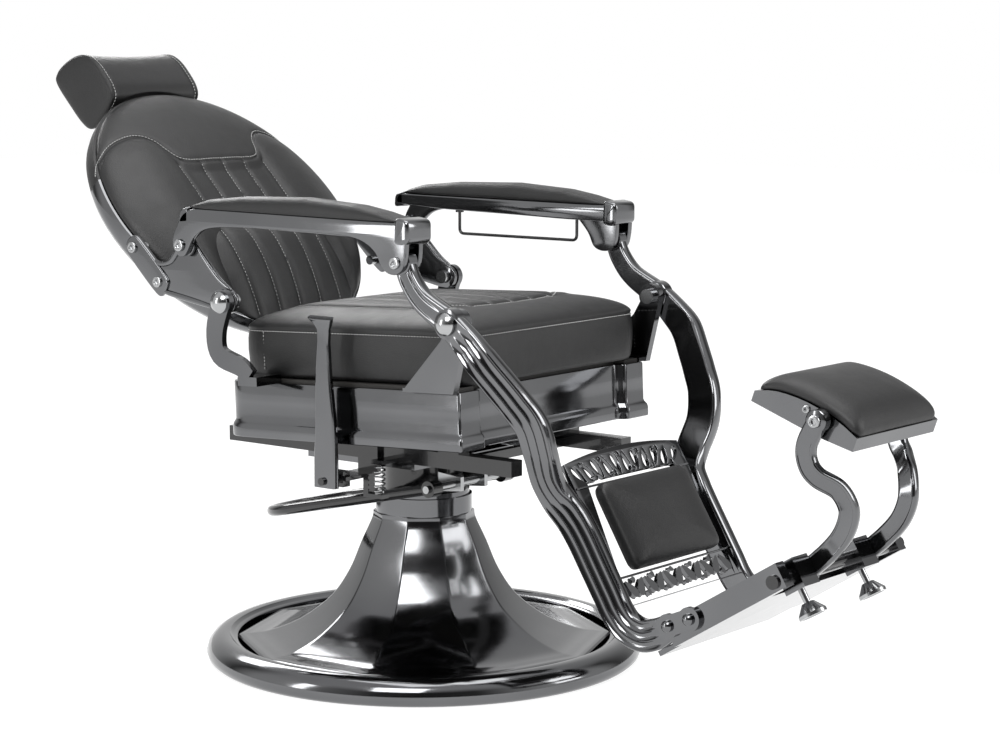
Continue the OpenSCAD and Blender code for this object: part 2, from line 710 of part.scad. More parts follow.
module side_frame() color(metal) difference() {
    bend_r = 56;
    toe = [leg_y - 72, -shin + 8];
    union() {
        side(frame_x, frame_t) {
            bar(curve([bolt_f, bolt_f + [-16, -33], piv_f + [44, 22], piv_f, piv_f + [-33, -27],
                in_leg(hip - [0, 5])], 5), 31, leg_bar);
            translate(bolt_f) circle(r = 17);
            translate(piv_f) circle(r = 23);
        }
        in_leg_frame() {
            hull() {
                leg_slice(hip, frame_x + frame_t / 2, 0, 1);
                leg_slice(knee, leg_x + frame_t / 2 + 67, 10);
            }
            hull() {
                leg_slice(knee, leg_x + frame_t / 2 + 67, 10);
                leg_slice(knee_mid, leg_x + frame_t / 2 + 53, 35);
            }
            hull() {
                leg_slice(knee_mid, leg_x + frame_t / 2 + 53, 35);
                leg_slice(knee_low, leg_x + frame_t / 2 + 20, 18);
            }
            hull() {
                leg_slice(knee_low, leg_x + frame_t / 2 + 20, 18);
                leg_slice(shin_top - [0, 6], leg_x + frame_t / 2, 0, 1);
            }
            side(leg_x, frame_t) {
                bar(concat([shin_top], arc([leg_y - bend_r, -shin + 8 + bend_r], bend_r, 0, -90, 8),
                    [toe]), leg_bar, leg_bar - 14);
            }
        }
    }
    cross_rod(piv_f, frame_x - 1, frame_x + frame_t + 1, pivot_d + 2 * fit);
    cross_rod(bolt_f, frame_x - 1, frame_x + frame_t + 1, bolt_d + 2 * loose);
}
module side_frame_left() on_side(1) side_frame();
module side_frame_right() on_side(-1) side_frame();

// Pierced panel between the lower legs, with a lattice band above and below the pad
panel_t = 8;
panel_top = -228;
panel_low = -shin + 62;
module calf_panel() color(metal) in_leg_frame() {
    width = 2 * leg_x;
    band = 46;
    window = width / 8;
    translate([0, leg_y - 8, 0]) rotate([90, 0, 0]) linear_extrude(panel_t) difference() {
        polygon(concat(
            [[width / 2, panel_low], [width / 2, panel_top - 12]],
            arc([0, panel_top - 2 * width], 2 * width, 90 - 13, 90 + 13, 12),
            [[-width / 2, panel_top - 12], [-width / 2, panel_low]]));
        for (row = [panel_top - 36, panel_low + band / 2], i = [-3 : 3])
            translate([i * window, row]) polygon(
                arc([0, 0], 1, 0, 330, 11) * [[window * 0.34, 0], [0, band * 0.26]]);
    }
}

module calf_pad() color(leather) in_leg_frame() {
    half = 108;
    top = panel_top - 60;
    low = panel_low + 52;
    translate([0, leg_y - 8 - panel_t - soft_gap, 0]) rotate([90, 0, 0]) {
        linear_extrude(14) translate([-half, low]) square([2 * half, top - low]);
        translate([0, 0, 14]) hull() {
            linear_extrude(1) translate([-half, low]) square([2 * half, top - low]);
            translate([0, 0, 15]) linear_extrude(1) translate([-half * 0.8, low + 24])
                square([half * 1.6, top - low - 48]);
        }
    }
}

// Outer link plates bolt the platform to the toes of the side frames
plat_z = -shin;
plat_h = 36;
toe_y = leg_y - 72;
module link_plates() color(dark_metal) both() in_leg_frame() {
    link_rear = [toe_y - 10, plat_z + 8];
    link_front = [toe_y - 48, plat_z + 2];
    side(leg_x + frame_t, 7) {
        bar([link_rear, link_front], 30, 30);
        translate(link_rear) circle(d = 35);
        translate(link_front) circle(d = 35);
    }
    for (p = [link_rear, link_front]) bolt_head(p, leg_x + frame_t + 7, 17);
}

module foot_platform() color(metal) in_leg_frame() {
    both() difference() {
        translate([leg_x, crossbar_y - 16, plat_z - 22]) cube([frame_t, toe_y - crossbar_y + 16, plat_h]);
        cross_rod(arm_eye, leg_x - 1, leg_x + frame_t + 1, crossbar_d);
    }
    translate([-leg_x, crossbar_y + 26, plat_z - 22]) cube([2 * leg_x, toe_y - crossbar_y + 18, 8]);
}

module foot_crossbar() color(dark_metal) in_leg_frame() {
    cross_rod(arm_eye, -leg_x - frame_t - 4, leg_x + frame_t + 14, crossbar_d);
}

// Clamp blocks grip the crossbar beside each arm, with a threaded hole from below
module clamp_blocks() color(dark_metal) in_leg_frame() for (x = clamp_x) difference() {
    translate([x, crossbar_y - 21, plat_z - 30]) cube([clamp_w, 35, 44]);
    cross_rod(arm_eye, x - 1, x + clamp_w + 1, crossbar_d);
    translate([x + clamp_w / 2, crossbar_y, plat_z - 31]) cylinder(h = 14, d = 10 + 2 * fit);
}

// Hollow conical knobs on short screws under the clamps
module thumb_screw(x) color(steel) in_leg_frame() translate([x, crossbar_y, plat_z - 19]) rotate([180, 0, 0]) {
    cylinder(h = 34, d = 10);
    translate([0, 0, 30]) rotate_extrude() polygon([[0, 0], [9, 0], [21, 15], [21, 20], [17, 20], [7, 6], [0, 6]]);
}
module thumb_screw_left() thumb_screw(clamp_x[0] + clamp_w / 2);
module thumb_screw_right() thumb_screw(clamp_x[1] + clamp_w / 2);

// ---------- Foot pad and its arms ----------

module foot_arm() color(metal) difference() {
    upper = [foot_pivot, foot_pivot + [33, -21], foot_pivot + [45, -44], foot_pivot + [45, -68]];
    lower = [foot_pivot + [40, -92], foot_pivot + [46, -122], foot_pivot + [60, -139],
        foot_pivot + [100, -154], arm_eye + [-26, 4]];
    in_leg_frame() union() {
        side(arm_top_x, arm_t) {
            bar(curve(upper, 5), arm_bar, arm_bar);
            translate(foot_pivot) circle(d = arm_bar + 2);
        }
        hull() {
            side(arm_top_x, arm_t) bar([upper[3] + [0, 2], upper[3]], arm_bar, arm_bar);
            side(arm_foot_x, arm_t) bar([lower[0], lower[0] + [0.6, -2]], arm_bar, arm_bar);
        }
        side(arm_foot_x, arm_t) {
            bar(curve(lower, 5), arm_bar, arm_bar - 2);
            bar([arm_eye + [-26, 4], arm_eye], arm_bar - 2, arm_bar - 2);
            translate(arm_eye) circle(d = crossbar_d + 18);
        }
    }
    in_leg_frame() {
        cross_rod(foot_pivot, arm_top_x - 1, arm_top_x + arm_t + 1, bolt_d + 2 * fit);
        cross_rod(arm_eye, arm_foot_x - 1, arm_foot_x + arm_t + 1, crossbar_d + 2 * fit);
    }
}
module foot_arm_left() on_side(1) foot_arm();
module foot_arm_right() on_side(-1) foot_arm();

tray_low = -26;
tray_arch = 10;
pad_rear_y = foot_pad_l - 58;
module foot_pad_tray() color(metal) in_foot_pad() difference() {
    side(-foot_pad_w / 2, foot_pad_w) polygon(concat(
        [[-58, tray_low + 4], [-58, -2]],
        curve([[-58, -2], [-20, tray_arch - 2], [30, tray_arch + 2], [80, tray_arch - 4],
            [pad_rear_y, -8]], 3),
        [[pad_rear_y, tray_low + 2], [0, tray_low]]));
    side(-foot_pad_w / 2 + 4, foot_pad_w - 8) polygon([
        [-54, tray_low - 1], [-54, -16], [20, -8], [pad_rear_y - 4, -14], [pad_rear_y - 4, tray_low - 1]]);
    cross_rod([0, 0], -foot_pad_w / 2 - 1, foot_pad_w / 2 + 1, bolt_d);
}

module foot_pad_cushion() color(leather) in_foot_pad() {
    rise = 26;
    side(-foot_pad_w / 2 + 2, foot_pad_w - 4) polygon(concat(
        curve([[-58, 2 * soft_gap - 2], [-20, tray_arch - 2 + 2 * soft_gap], [30, tray_arch + 2 + 2 * soft_gap],
            [80, tray_arch - 4 + 2 * soft_gap], [pad_rear_y, 2 * soft_gap - 8]], 3),
        curve([[pad_rear_y, 0], [80, rise - 2], [30, rise + 10], [-20, rise], [-58, 5]], 3)));
}

module foot_pad_bolts() color(steel) in_foot_pad() {
    cross_rod([0, 0], -arm_top_x - arm_t - gap, arm_top_x + arm_t + gap, bolt_d);
    both() bolt_head([0, 0], arm_top_x + arm_t + gap, 18);
}

base_disc();
base_skirt();
base_collar();
guide_bush();
pump_cylinder();
lift_ram();
lift_sleeve();
lift_head();
thrust_washer();
pedal_lugs();
pump_pedal();
swivel_plate();
seat_rails();
seat_risers();
lock_cylinder();
lever_mount();
lever_spring();
recline_lever();
seat_pan();
seat_board();
seat_cushion();
front_bracket_left();
front_bracket_right();
rear_bracket_left();
rear_bracket_right();
front_pivot_pins();
rear_pivot_pins();
back_shell();
back_board();
back_cushion();
lumbar_cushion();
back_wing_left();
back_wing_right();
wing_bolts();
armrest_pins();
headrest_guide();
headrest_posts();
headrest_pillow();
armrest_tray_left();
armrest_pad_left();
fork_bolt_left();
towel_bar();
armrest_tray_right();
armrest_pad_right();
fork_bolt_right();
side_frame_left();
side_frame_right();
calf_panel();
calf_pad();
link_plates();
foot_platform();
foot_crossbar();
clamp_blocks();
thumb_screw_left();
thumb_screw_right();
foot_arm_left();
foot_arm_right();
foot_pad_tray();
foot_pad_cushion();
foot_pad_bolts();
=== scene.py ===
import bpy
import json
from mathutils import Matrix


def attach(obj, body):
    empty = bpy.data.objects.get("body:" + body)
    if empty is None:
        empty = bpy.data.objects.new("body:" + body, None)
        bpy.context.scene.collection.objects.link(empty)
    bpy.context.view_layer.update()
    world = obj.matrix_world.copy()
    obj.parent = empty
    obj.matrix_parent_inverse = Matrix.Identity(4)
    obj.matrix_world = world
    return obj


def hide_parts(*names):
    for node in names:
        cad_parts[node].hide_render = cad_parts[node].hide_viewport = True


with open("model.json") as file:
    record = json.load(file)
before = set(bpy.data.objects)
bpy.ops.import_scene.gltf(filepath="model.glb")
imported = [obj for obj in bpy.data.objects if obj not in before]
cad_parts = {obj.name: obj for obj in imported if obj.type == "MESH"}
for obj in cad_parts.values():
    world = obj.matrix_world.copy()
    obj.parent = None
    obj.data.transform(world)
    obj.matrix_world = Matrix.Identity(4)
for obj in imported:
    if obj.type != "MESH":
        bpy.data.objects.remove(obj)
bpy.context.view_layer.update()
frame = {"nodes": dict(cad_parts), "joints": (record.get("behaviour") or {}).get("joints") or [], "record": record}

import json
import math

import bmesh
import bpy
import numpy as np
from mathutils import Vector

MM = 0.001

# ---------------------------------------------------------------- camera


def add_camera():
    turn, dip = math.radians(51.74), math.radians(7.61)
    ahead = Vector((math.sin(turn) * math.cos(dip), math.cos(turn) * math.cos(dip), -math.sin(dip)))
    data = bpy.data.cameras.new("camera")
    data.sensor_width = 36
    data.lens = 89.3
    camera = bpy.data.objects.new("camera", data)
    camera.location = (-3.008, -2.528, 0.978)
    camera.rotation_euler = ahead.to_track_quat("-Z", "Y").to_euler()
    bpy.context.scene.collection.objects.link(camera)
    bpy.context.scene.camera = camera


add_camera()

# ---------------------------------------------------------------- materials


def new_material(name):
    """A Principled material and helpers to add nodes to it."""
    material = bpy.data.materials.new(name)
    material.use_nodes = True
    tree = material.node_tree
    shader = tree.nodes["Principled BSDF"]
    coords = tree.nodes.new("ShaderNodeTexCoord")

    def add(kind, settings=None, **inputs):
        node = tree.nodes.new(kind)
        for key, value in (settings or {}).items():
            setattr(node, key, value)
        for key, value in inputs.items():
            socket = node.inputs[key.replace("_", " ")]
            if isinstance(value, bpy.types.NodeSocket):
                tree.links.new(value, socket)
            else:
                socket.default_value = value
        return node

    def link(a, b):
        tree.links.new(a, b)

    return material, shader, coords.outputs["Object"], add, link


def ramp(add, factor, low, high, start=0.3, end=0.7):
    node = add("ShaderNodeValToRGB", Fac=factor)
    node.color_ramp.elements[0].position = start
    node.color_ramp.elements[1].position = end
    node.color_ramp.elements[0].color = (*low, 1)
    node.color_ramp.elements[1].color = (*high, 1)
    return node.outputs["Color"]


def span(add, factor, low, high):
    return add("ShaderNodeMapRange", Value=factor, To_Min=low, To_Max=high).outputs["Result"]


def leather_material(name, dark, light, rough):
    """Fine pebbled grain, soft creases, and slightly uneven tone and polish."""
    material, shader, coords, add, link = new_material(name)
    cells = add("ShaderNodeTexVoronoi", {"feature": "SMOOTH_F1"}, Vector=coords, Scale=620.0)
    pores = add("ShaderNodeTexNoise", Vector=coords, Scale=1500.0, Detail=3.0)
    creases = add("ShaderNodeTexNoise", Vector=coords, Scale=34.0, Detail=4.0, Roughness=0.55)
    tone = add("ShaderNodeTexNoise", Vector=coords, Scale=7.0, Detail=3.0)
    link(ramp(add, tone.outputs["Fac"], dark, light), shader.inputs["Base Color"])
    link(span(add, creases.outputs["Fac"], rough - 0.06, rough + 0.08), shader.inputs["Roughness"])
    fold = add("ShaderNodeBump", Strength=0.22, Distance=0.003, Height=creases.outputs["Fac"])
    grain = add("ShaderNodeBump", Strength=0.42, Distance=0.0005, Height=cells.outputs["Distance"],
                Normal=fold.outputs["Normal"])
    fine = add("ShaderNodeBump", Strength=0.18, Distance=0.0002, Height=pores.outputs["Fac"],
               Normal=grain.outputs["Normal"])
    link(fine.outputs["Normal"], shader.inputs["Normal"])
    shader.inputs["Specular IOR Level"].default_value = 0.45
    return material


def metal_material(name, dark, light, rough, metallic=1.0, coat=0.0):
    """Polished plating: faint waves of the casting, and slightly uneven gloss."""
    material, shader, coords, add, link = new_material(name)
    tone = add("ShaderNodeTexNoise", Vector=coords, Scale=5.0, Detail=2.0)
    haze = add("ShaderNodeTexNoise", Vector=coords, Scale=60.0, Detail=5.0)
    waves = add("ShaderNodeTexNoise", Vector=coords, Scale=18.0, Detail=1.0)
    link(ramp(add, tone.outputs["Fac"], dark, light), shader.inputs["Base Color"])
    link(span(add, haze.outputs["Fac"], rough * 0.7, rough * 1.4), shader.inputs["Roughness"])
    bump = add("ShaderNodeBump", Strength=0.08, Distance=0.002, Height=waves.outputs["Fac"])
    link(bump.outputs["Normal"], shader.inputs["Normal"])
    shader.inputs["Metallic"].default_value = metallic
    shader.inputs["Coat Weight"].default_value = coat
    return material


def thread_material():
    material, shader, coords, add, link = new_material("thread")
    twist = add("ShaderNodeTexNoise", Vector=coords, Scale=2600.0, Detail=2.0)
    dark, light = (0.26, 0.26, 0.26), (0.55, 0.55, 0.54)
    link(ramp(add, twist.outputs["Fac"], dark, light), shader.inputs["Base Color"])
    bump = add("ShaderNodeBump", Strength=0.5, Distance=0.0002, Height=twist.outputs["Fac"])
    link(bump.outputs["Normal"], shader.inputs["Normal"])
    shader.inputs["Roughness"].default_value = 0.7
    return material


def board_material():
    material, shader, coords, add, link = new_material("black_board")
    stretch = add("ShaderNodeMapping", Vector=coords, Scale=(4.0, 60.0, 300.0))
    grain = add("ShaderNodeTexNoise", Vector=stretch.outputs["Vector"], Scale=3.0, Detail=6.0)
    dark, light = (0.008, 0.007, 0.006), (0.020, 0.018, 0.016)
    link(ramp(add, grain.outputs["Fac"], dark, light), shader.inputs["Base Color"])
    bump = add("ShaderNodeBump", Strength=0.2, Distance=0.0005, Height=grain.outputs["Fac"])
    link(bump.outputs["Normal"], shader.inputs["Normal"])
    shader.inputs["Roughness"].default_value = 0.65
    return material


LEATHER = leather_material("leather", (0.0060, 0.0060, 0.0062), (0.0110, 0.0110, 0.0113), 0.46)
GUNMETAL = metal_material("gunmetal", (0.145, 0.147, 0.152), (0.18, 0.182, 0.187), 0.11)
BLACK = metal_material("black_gloss", (0.006, 0.006, 0.0065), (0.011, 0.011, 0.012), 0.16, 0.0, 0.5)
STEEL = metal_material("bright_steel", (0.36, 0.365, 0.37), (0.44, 0.445, 0.45), 0.17)
THREAD = thread_material()
BOARD = board_material()
FINISH = {"gunmetal": GUNMETAL, "black_gloss": BLACK, "bright_steel": STEEL, "black_leather": LEATHER,
          "black_board": BOARD}

# ---------------------------------------------------------------- frames

JOINTS = {j["name"]: j for j in frame["joints"]}


def pivot(joint):
    """The [y, z] of a joint's axis, in metres."""
    return np.array(JOINTS[joint]["pos_m"][1:])


FRONT, REAR = pivot("legrest_swing"), pivot("recline")
BOLT_REAR = pivot("armrest_left_pivot")
BOLT_FRONT = FRONT + BOLT_REAR - REAR
FOOT_PIVOT = pivot("foot_pad_tilt")


LEG_ANGLE = 31.5


def turned(origin, degrees):
    """Maps millimetre points [x, y, z] of a frame to metres in the chair's frame.

    The frame stands at origin and is tipped back by degrees about X."""
    c, s = math.cos(math.radians(degrees)), math.sin(math.radians(degrees))

    def place(points):
        p = np.asarray(points, float) * MM
        x, y, z = p[..., 0], p[..., 1], p[..., 2]
        return np.stack([x, origin[0] + y * c + z * s, origin[1] - y * s + z * c], axis=-1)

    return place


world = turned((0, 0), 0)
seat = turned((0, 0.374), 2.5)
back = turned(REAR, 44)
leg = turned(FRONT, LEG_ANGLE)
foot = turned(FOOT_PIVOT, LEG_ANGLE - 51)


def face_on(place):
    """For pads on an upright plane: takes [across, up, towards the sitter]."""
    return lambda p: place(np.stack([p[..., 0], -p[..., 2], p[..., 1]], axis=-1))


# ---------------------------------------------------------------- curves and rings


def smooth(points, steps=8, closed=False):
    """Catmull-Rom curve through the points, of any dimension."""
    p = np.asarray(points, float)
    if closed:
        p = np.vstack([p[-1], p, p[0], p[1]])
    else:
        p = np.vstack([2 * p[0] - p[1], p, 2 * p[-1] - p[-2]])
    out = []
    for i in range(1, len(p) - 2):
        a, b, c, d = p[i - 1], p[i], p[i + 1], p[i + 2]
        for t in np.arange(steps) / steps:
            out.append(0.5 * (2 * b + (c - a) * t + (2 * a - 5 * b + 4 * c - d) * t * t
                              + (3 * b - a - 3 * c + d) * t ** 3))
    if not closed:
        out.append(p[-2])
    return np.array(out)


def resample(points, count, closed=False):
    p = np.asarray(points, float)
    if closed:
        p = np.vstack([p, p[:1]])
    length = np.concatenate([[0], np.cumsum(np.linalg.norm(np.diff(p, axis=0), axis=1))])
    at = np.linspace(0, length[-1], count + 1)[:-1] if closed else np.linspace(0, length[-1], count)
    return np.stack([np.interp(at, length, p[:, k]) for k in range(p.shape[1])], axis=1)


def rounded(points, radius, steps=6):
    """A closed outline with each corner rounded; radius may be one number or one a corner."""
    p = np.asarray(points, float)
    n = len(p)
    radii = np.broadcast_to(radius, (n,))
    out = []
    for i in range(n):
        a, b, c = p[i - 1], p[i], p[(i + 1) % n]
        r = min(radii[i], np.linalg.norm(a - b) * 0.49, np.linalg.norm(c - b) * 0.49)
        start, end = b + (a - b) / np.linalg.norm(a - b) * r, b + (c - b) / np.linalg.norm(c - b) * r
        for t in np.linspace(0, 1, steps + 1):
            out.append((1 - t) ** 2 * start + 2 * t * (1 - t) * b + t * t * end)
    return np.array(out)


def circle(radius, count, centre=(0, 0)):
    a = np.linspace(0, 2 * math.pi, count, endpoint=False)
    return np.stack([centre[0] + radius * np.cos(a), centre[1] + radius * np.sin(a)], axis=1)


def to_line(points, line):
    """Distance of each 2-D point to a polyline."""
    best = np.full(len(points), 1e9)
    for a, b in zip(line[:-1], line[1:]):
        ab = b - a
        t = np.clip(((points - a) @ ab) / max(ab @ ab, 1e-9), 0, 1)
        best = np.minimum(best, np.linalg.norm(points - a - t[:, None] * ab, axis=1))
    return best


def step(x, a, b):
    t = np.clip((x - a) / (b - a), 0, 1)
    return t * t * (3 - 2 * t)


# ---------------------------------------------------------------- mesh building


class Build:
    """Collects rings and faces for one piece."""

    def __init__(self):
        self.verts, self.faces, self.mats = [], [], []

    def rings(self, rings, mat=0, loop=False, caps=True):
        base = len(self.verts)
        k = len(rings[0])
        for ring in rings:
            self.verts.extend(np.asarray(ring, float).tolist())
        n = len(rings)
        last = n if loop else n - 1
        for i in range(last):
            a, b = base + i * k, base + ((i + 1) % n) * k
            for j in range(k):
                j2 = (j + 1) % k
                self.faces.append((a + j, a + j2, b + j2, b + j))
        added = last * k
        if caps and not loop:
            self.faces.append(tuple(range(base, base + k)))
            self.faces.append(tuple(base + (n - 1) * k + j for j in range(k)))
            added += 2
        self.mats.extend(mat if isinstance(mat, list) else [mat] * added)
        return self

    def add(self, verts, faces, mat=0):
        base = len(self.verts)
        self.verts.extend(np.asarray(verts, float).tolist())
        self.faces.extend(tuple(base + i for i in f) for f in faces)
        self.mats.extend([mat] * len(faces))
        return self

    def piece(self, name, body, slot, replaces=(), materials=None, sharp=38, pad=None):
        """Makes the object: it rides on the body and stands for the nodes that it replaces."""
        mesh = bpy.data.meshes.new(name)
        mesh.from_pydata(self.verts, [], self.faces)
        mesh.polygons.foreach_set("material_index", self.mats)
        work = bmesh.new()
        work.from_mesh(mesh)
        bmesh.ops.remove_doubles(work, verts=work.verts, dist=1e-6)
        bmesh.ops.recalc_face_normals(work, faces=work.faces)
        work.to_mesh(mesh)
        work.free()
        for material in materials or [FINISH[slot]]:
            mesh.materials.append(material)
        mesh.polygons.foreach_set("use_smooth", [True] * len(mesh.polygons))
        mesh.set_sharp_from_angle(angle=math.radians(sharp))
        made = bpy.data.objects.new(name, mesh)
        bpy.context.scene.collection.objects.link(made)
        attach(made, body)
        if replaces:
            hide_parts(*replaces)
        return made


def soften(piece, width):
    """Rounds the sharp edges of a frame node."""
    edge = piece.modifiers.new("edge", "BEVEL")
    edge.width = width
    edge.segments = 3
    edge.limit_method = "ANGLE"
    edge.angle_limit = math.radians(35)


def plate(outline, thick, holes=(), bevel=0.0012):
    """Vertices and faces of a flat plate in millimetres [a, b, height], with rounded edges and holes."""
    curve = bpy.data.curves.new("outline", "CURVE")
    curve.dimensions = "2D"
    curve.fill_mode = "BOTH"
    curve.extrude = thick / 2 * MM - bevel
    curve.bevel_depth = bevel
    curve.offset = -bevel
    curve.bevel_resolution = 2
    for points in [outline, *holes]:
        spline = curve.splines.new("POLY")
        spline.points.add(len(points) - 1)
        for dot, (a, b) in zip(spline.points, points):
            dot.co = (a * MM, b * MM, 0, 1)
        spline.use_cyclic_u = True
    holder = bpy.data.objects.new("outline", curve)
    bpy.context.scene.collection.objects.link(holder)
    bpy.context.view_layer.update()
    mesh = bpy.data.meshes.new_from_object(holder.evaluated_get(bpy.context.evaluated_depsgraph_get()))
    verts = np.array([v.co for v in mesh.vertices]) / MM
    faces = [tuple(p.vertices) for p in mesh.polygons]
    bpy.data.objects.remove(holder)
    bpy.data.curves.remove(curve)
    bpy.data.meshes.remove(mesh)
    return verts, faces


def side_plate(outline, x0, x1, side, place=world, holes=(), bevel=0.0012):
    """A plate drawn in the side view, standing between x0 and x1 on one side of the chair."""
    verts, faces = plate(outline, x1 - x0, holes, bevel)
    x = side * ((x0 + x1) / 2 + verts[:, 2])
    return place(np.stack([x, verts[:, 0], verts[:, 1]], axis=1)), faces


def lathe(profile, count=48):
    """Rings round +Z from (radius, height) or (radius, height, "hex") entries, in millimetres."""
    angle = np.linspace(0, 2 * math.pi, count, endpoint=False)
    rings = []
    for entry in profile:
        radius = np.full(count, float(entry[0]))
        if len(entry) > 2:
            radius = radius / np.cos((angle % (math.pi / 3)) - math.pi / 6)
        rings.append(np.stack([radius * np.cos(angle), radius * np.sin(angle),
                               np.full(count, float(entry[1]))], axis=1))
    return rings


def across(rings, x, y, z, side=1, place=world):
    """Turns lathe rings to point outwards along X at a millimetre point."""
    return [place(np.stack([side * (x + r[:, 2]), y + r[:, 0], z + r[:, 1]], axis=1)) for r in rings]


def socket_head(d, h=5.0):
    r, key = d / 2, d * 0.21
    return [(r, 0), (r, h - 1.2), (r - 0.6, h - 0.3), (r - 1.6, h), (r * 0.62, h), (r * 0.56, h - 0.7),
            (key * 1.1, h - 0.7), (key, h - 1.2, "hex"), (key, h - 3.6, "hex")]


def tube(path, radius, count=14):
    """Rings of a round bar along a path, in the path's own units."""
    p = np.asarray(path, float)
    t = np.gradient(p, axis=0)
    t /= np.linalg.norm(t, axis=1)[:, None]
    guide = np.array([1.0, 0, 0]) if abs(t[0][0]) < 0.8 else np.array([0, 0, 1.0])
    u = np.cross(t[0], guide)
    rings = []
    a = np.linspace(0, 2 * math.pi, count, endpoint=False)
    for i in range(len(p)):
        u = u - t[i] * (u @ t[i])
        u /= np.linalg.norm(u)
        v = np.cross(t[i], u)
        r = radius[i] if hasattr(radius, "__len__") else radius
        rings.append(p[i] + r * (np.cos(a)[:, None] * u + np.sin(a)[:, None] * v))
    return rings


def bar_rings(path, width, thick, relief, side, corner=4.0, count=46):
    """Rings of a flat bar along [x, y, z].

    Its wide outer face is cut by relief(v, i), with v from -1 to 1 across it."""
    p = np.asarray(path, float)
    t = np.gradient(p, axis=0)
    t /= np.linalg.norm(t, axis=1)[:, None]
    flat = t[:, 1:] / np.linalg.norm(t[:, 1:], axis=1)[:, None]
    wide = np.stack([np.zeros(len(p)), flat[:, 1], -flat[:, 0]], axis=1)
    wide -= t * np.sum(t * wide, axis=1)[:, None]
    wide /= np.linalg.norm(wide, axis=1)[:, None]
    out = np.cross(t, wide)
    out *= np.sign(out[0, 0]) * side
    rings = []
    for i in range(len(p)):
        w, h = width[i] / 2, thick[i] / 2
        c = min(corner, h * 0.8)
        a = np.linspace(-w + c, w - c, count)
        outer = np.stack([a, h - relief(a / w, i)], axis=1)
        inner = np.stack([a[::-1][::3], np.full(len(a[::3]), -h)], axis=1)
        turn = np.linspace(math.pi / 2, -math.pi / 2, 9)[1:-1]
        corner_y = (h - c) * np.sign(np.sin(turn)) + c * np.sin(turn)
        right = np.stack([w - c + c * np.cos(turn), corner_y], axis=1)
        left = np.stack([-right[::-1, 0], right[::-1, 1]], axis=1)
        ring = np.vstack([outer, right, inner, left])
        rings.append(p[i] + ring[:, :1] * wide[i] + ring[:, 1:] * out[i])
    return rings


# ---------------------------------------------------------------- stitching


def stitch_row(build, points, normals, pitch=5.6, length=4.0, thick=0.75, mat=0):
    """Small thread stitches laid end to end along world points, standing a little out of the surface."""
    p = np.asarray(points, float)
    span_m = np.concatenate([[0], np.cumsum(np.linalg.norm(np.diff(p, axis=0), axis=1))])
    n = np.asarray(normals, float)
    at = np.arange(pitch * MM / 2, span_m[-1], pitch * MM)
    mid = np.stack([np.interp(at, span_m, p[:, k]) for k in range(3)], axis=1)
    up = np.stack([np.interp(at, span_m, n[:, k]) for k in range(3)], axis=1)
    ahead = np.stack([np.interp(at + 1e-3, span_m, p[:, k]) - np.interp(at - 1e-3, span_m, p[:, k])
                      for k in range(3)], axis=1)
    for m, u, t in zip(mid, up, ahead):
        t = t / max(np.linalg.norm(t), 1e-9)
        u = u / max(np.linalg.norm(u), 1e-9)
        s = np.cross(t, u)
        a = np.linspace(0, 2 * math.pi, 6, endpoint=False)
        rings = []
        for along, r, lift in ((-0.5, 0.25, -0.2), (-0.36, 0.9, 0.25), (0.0, 1.0, 0.4), (0.36, 0.9, 0.25),
                               (0.5, 0.25, -0.2)):
            centre = m + t * along * length * MM + u * lift * MM
            rings.append(centre + r * thick * MM * (np.cos(a)[:, None] * u + np.sin(a)[:, None] * s))
        build.rings(rings, mat)


# ---------------------------------------------------------------- pads


class Pad:
    """A stuffed form: an outline, a wall, a crowned top, and sewn grooves in the top."""

    def __init__(self, place, outline, centre, height, grooves=(), count=520):
        self.place = place
        self.outline = resample(outline, count, closed=True)
        self.centre = np.array(centre, float)
        self.height = height
        self.grooves = grooves

    def at(self, q, rho):
        """Top height at plan points q, each on the ring rho."""
        z = self.height(q, rho)
        for line, depth, width in self.grooves:
            d = to_line(q, np.asarray(line, float))
            z = z - depth * np.exp(-d / width)
        return z

    def ring(self, inset, z):
        arm = self.outline - self.centre
        reach = np.linalg.norm(arm, axis=1)[:, None]
        q = self.centre + arm * (1 - inset / reach)
        return np.column_stack([q, np.full(len(q), float(z)) if np.isscalar(z) else z])

    def mesh(self, walls, rings=95):
        """walls: (inset, height) from the base to the seam, heights measured as the top's are."""
        build = Build()
        stack = [self.place(self.ring(i, z if np.isscalar(z) else z(self.ring(i, 0)[:, :2])))
                 for i, z in walls]
        for rho in 1 - np.linspace(0.0, 0.985, rings) ** 1.25:
            q = self.centre + (self.outline - self.centre) * rho
            stack.append(self.place(np.column_stack([q, self.at(q, np.full(len(q), rho))])))
        return build.rings(stack)

    def rho(self, q):
        """Ring value of plan points, from the outline in their direction."""
        arm = np.asarray(q, float) - self.centre
        edge = self.outline - self.centre
        angle = np.arctan2(edge[:, 1], edge[:, 0])
        order = np.argsort(angle)
        reach = np.interp(np.arctan2(arm[:, 1], arm[:, 0]), angle[order],
                          np.linalg.norm(edge, axis=1)[order], period=2 * math.pi)
        return np.clip(np.linalg.norm(arm, axis=1) / reach, 0, 1)

    def on_top(self, line, count=260):
        """World points and outward directions along a plan line."""
        q = resample(line, count)
        z = self.at(q, self.rho(q))
        here = self.place(np.column_stack([q, z]))
        above = self.place(np.column_stack([q, z + 1.0]))
        return here, above - here


def crown(rho, height, power, fall):
    return height * np.clip(1 - rho ** power, 0, 1) ** (1 / fall)


# ---------------------------------------------------------------- cushions

CHANNELS = (-100, -50, 0, 50, 100)
SHELL_CENTRE = 262


def whole(half):
    """An outline from -x to +x, made of its +x half and that half's mirror image."""
    return [(-x, y) for x, y in reversed(half)] + half


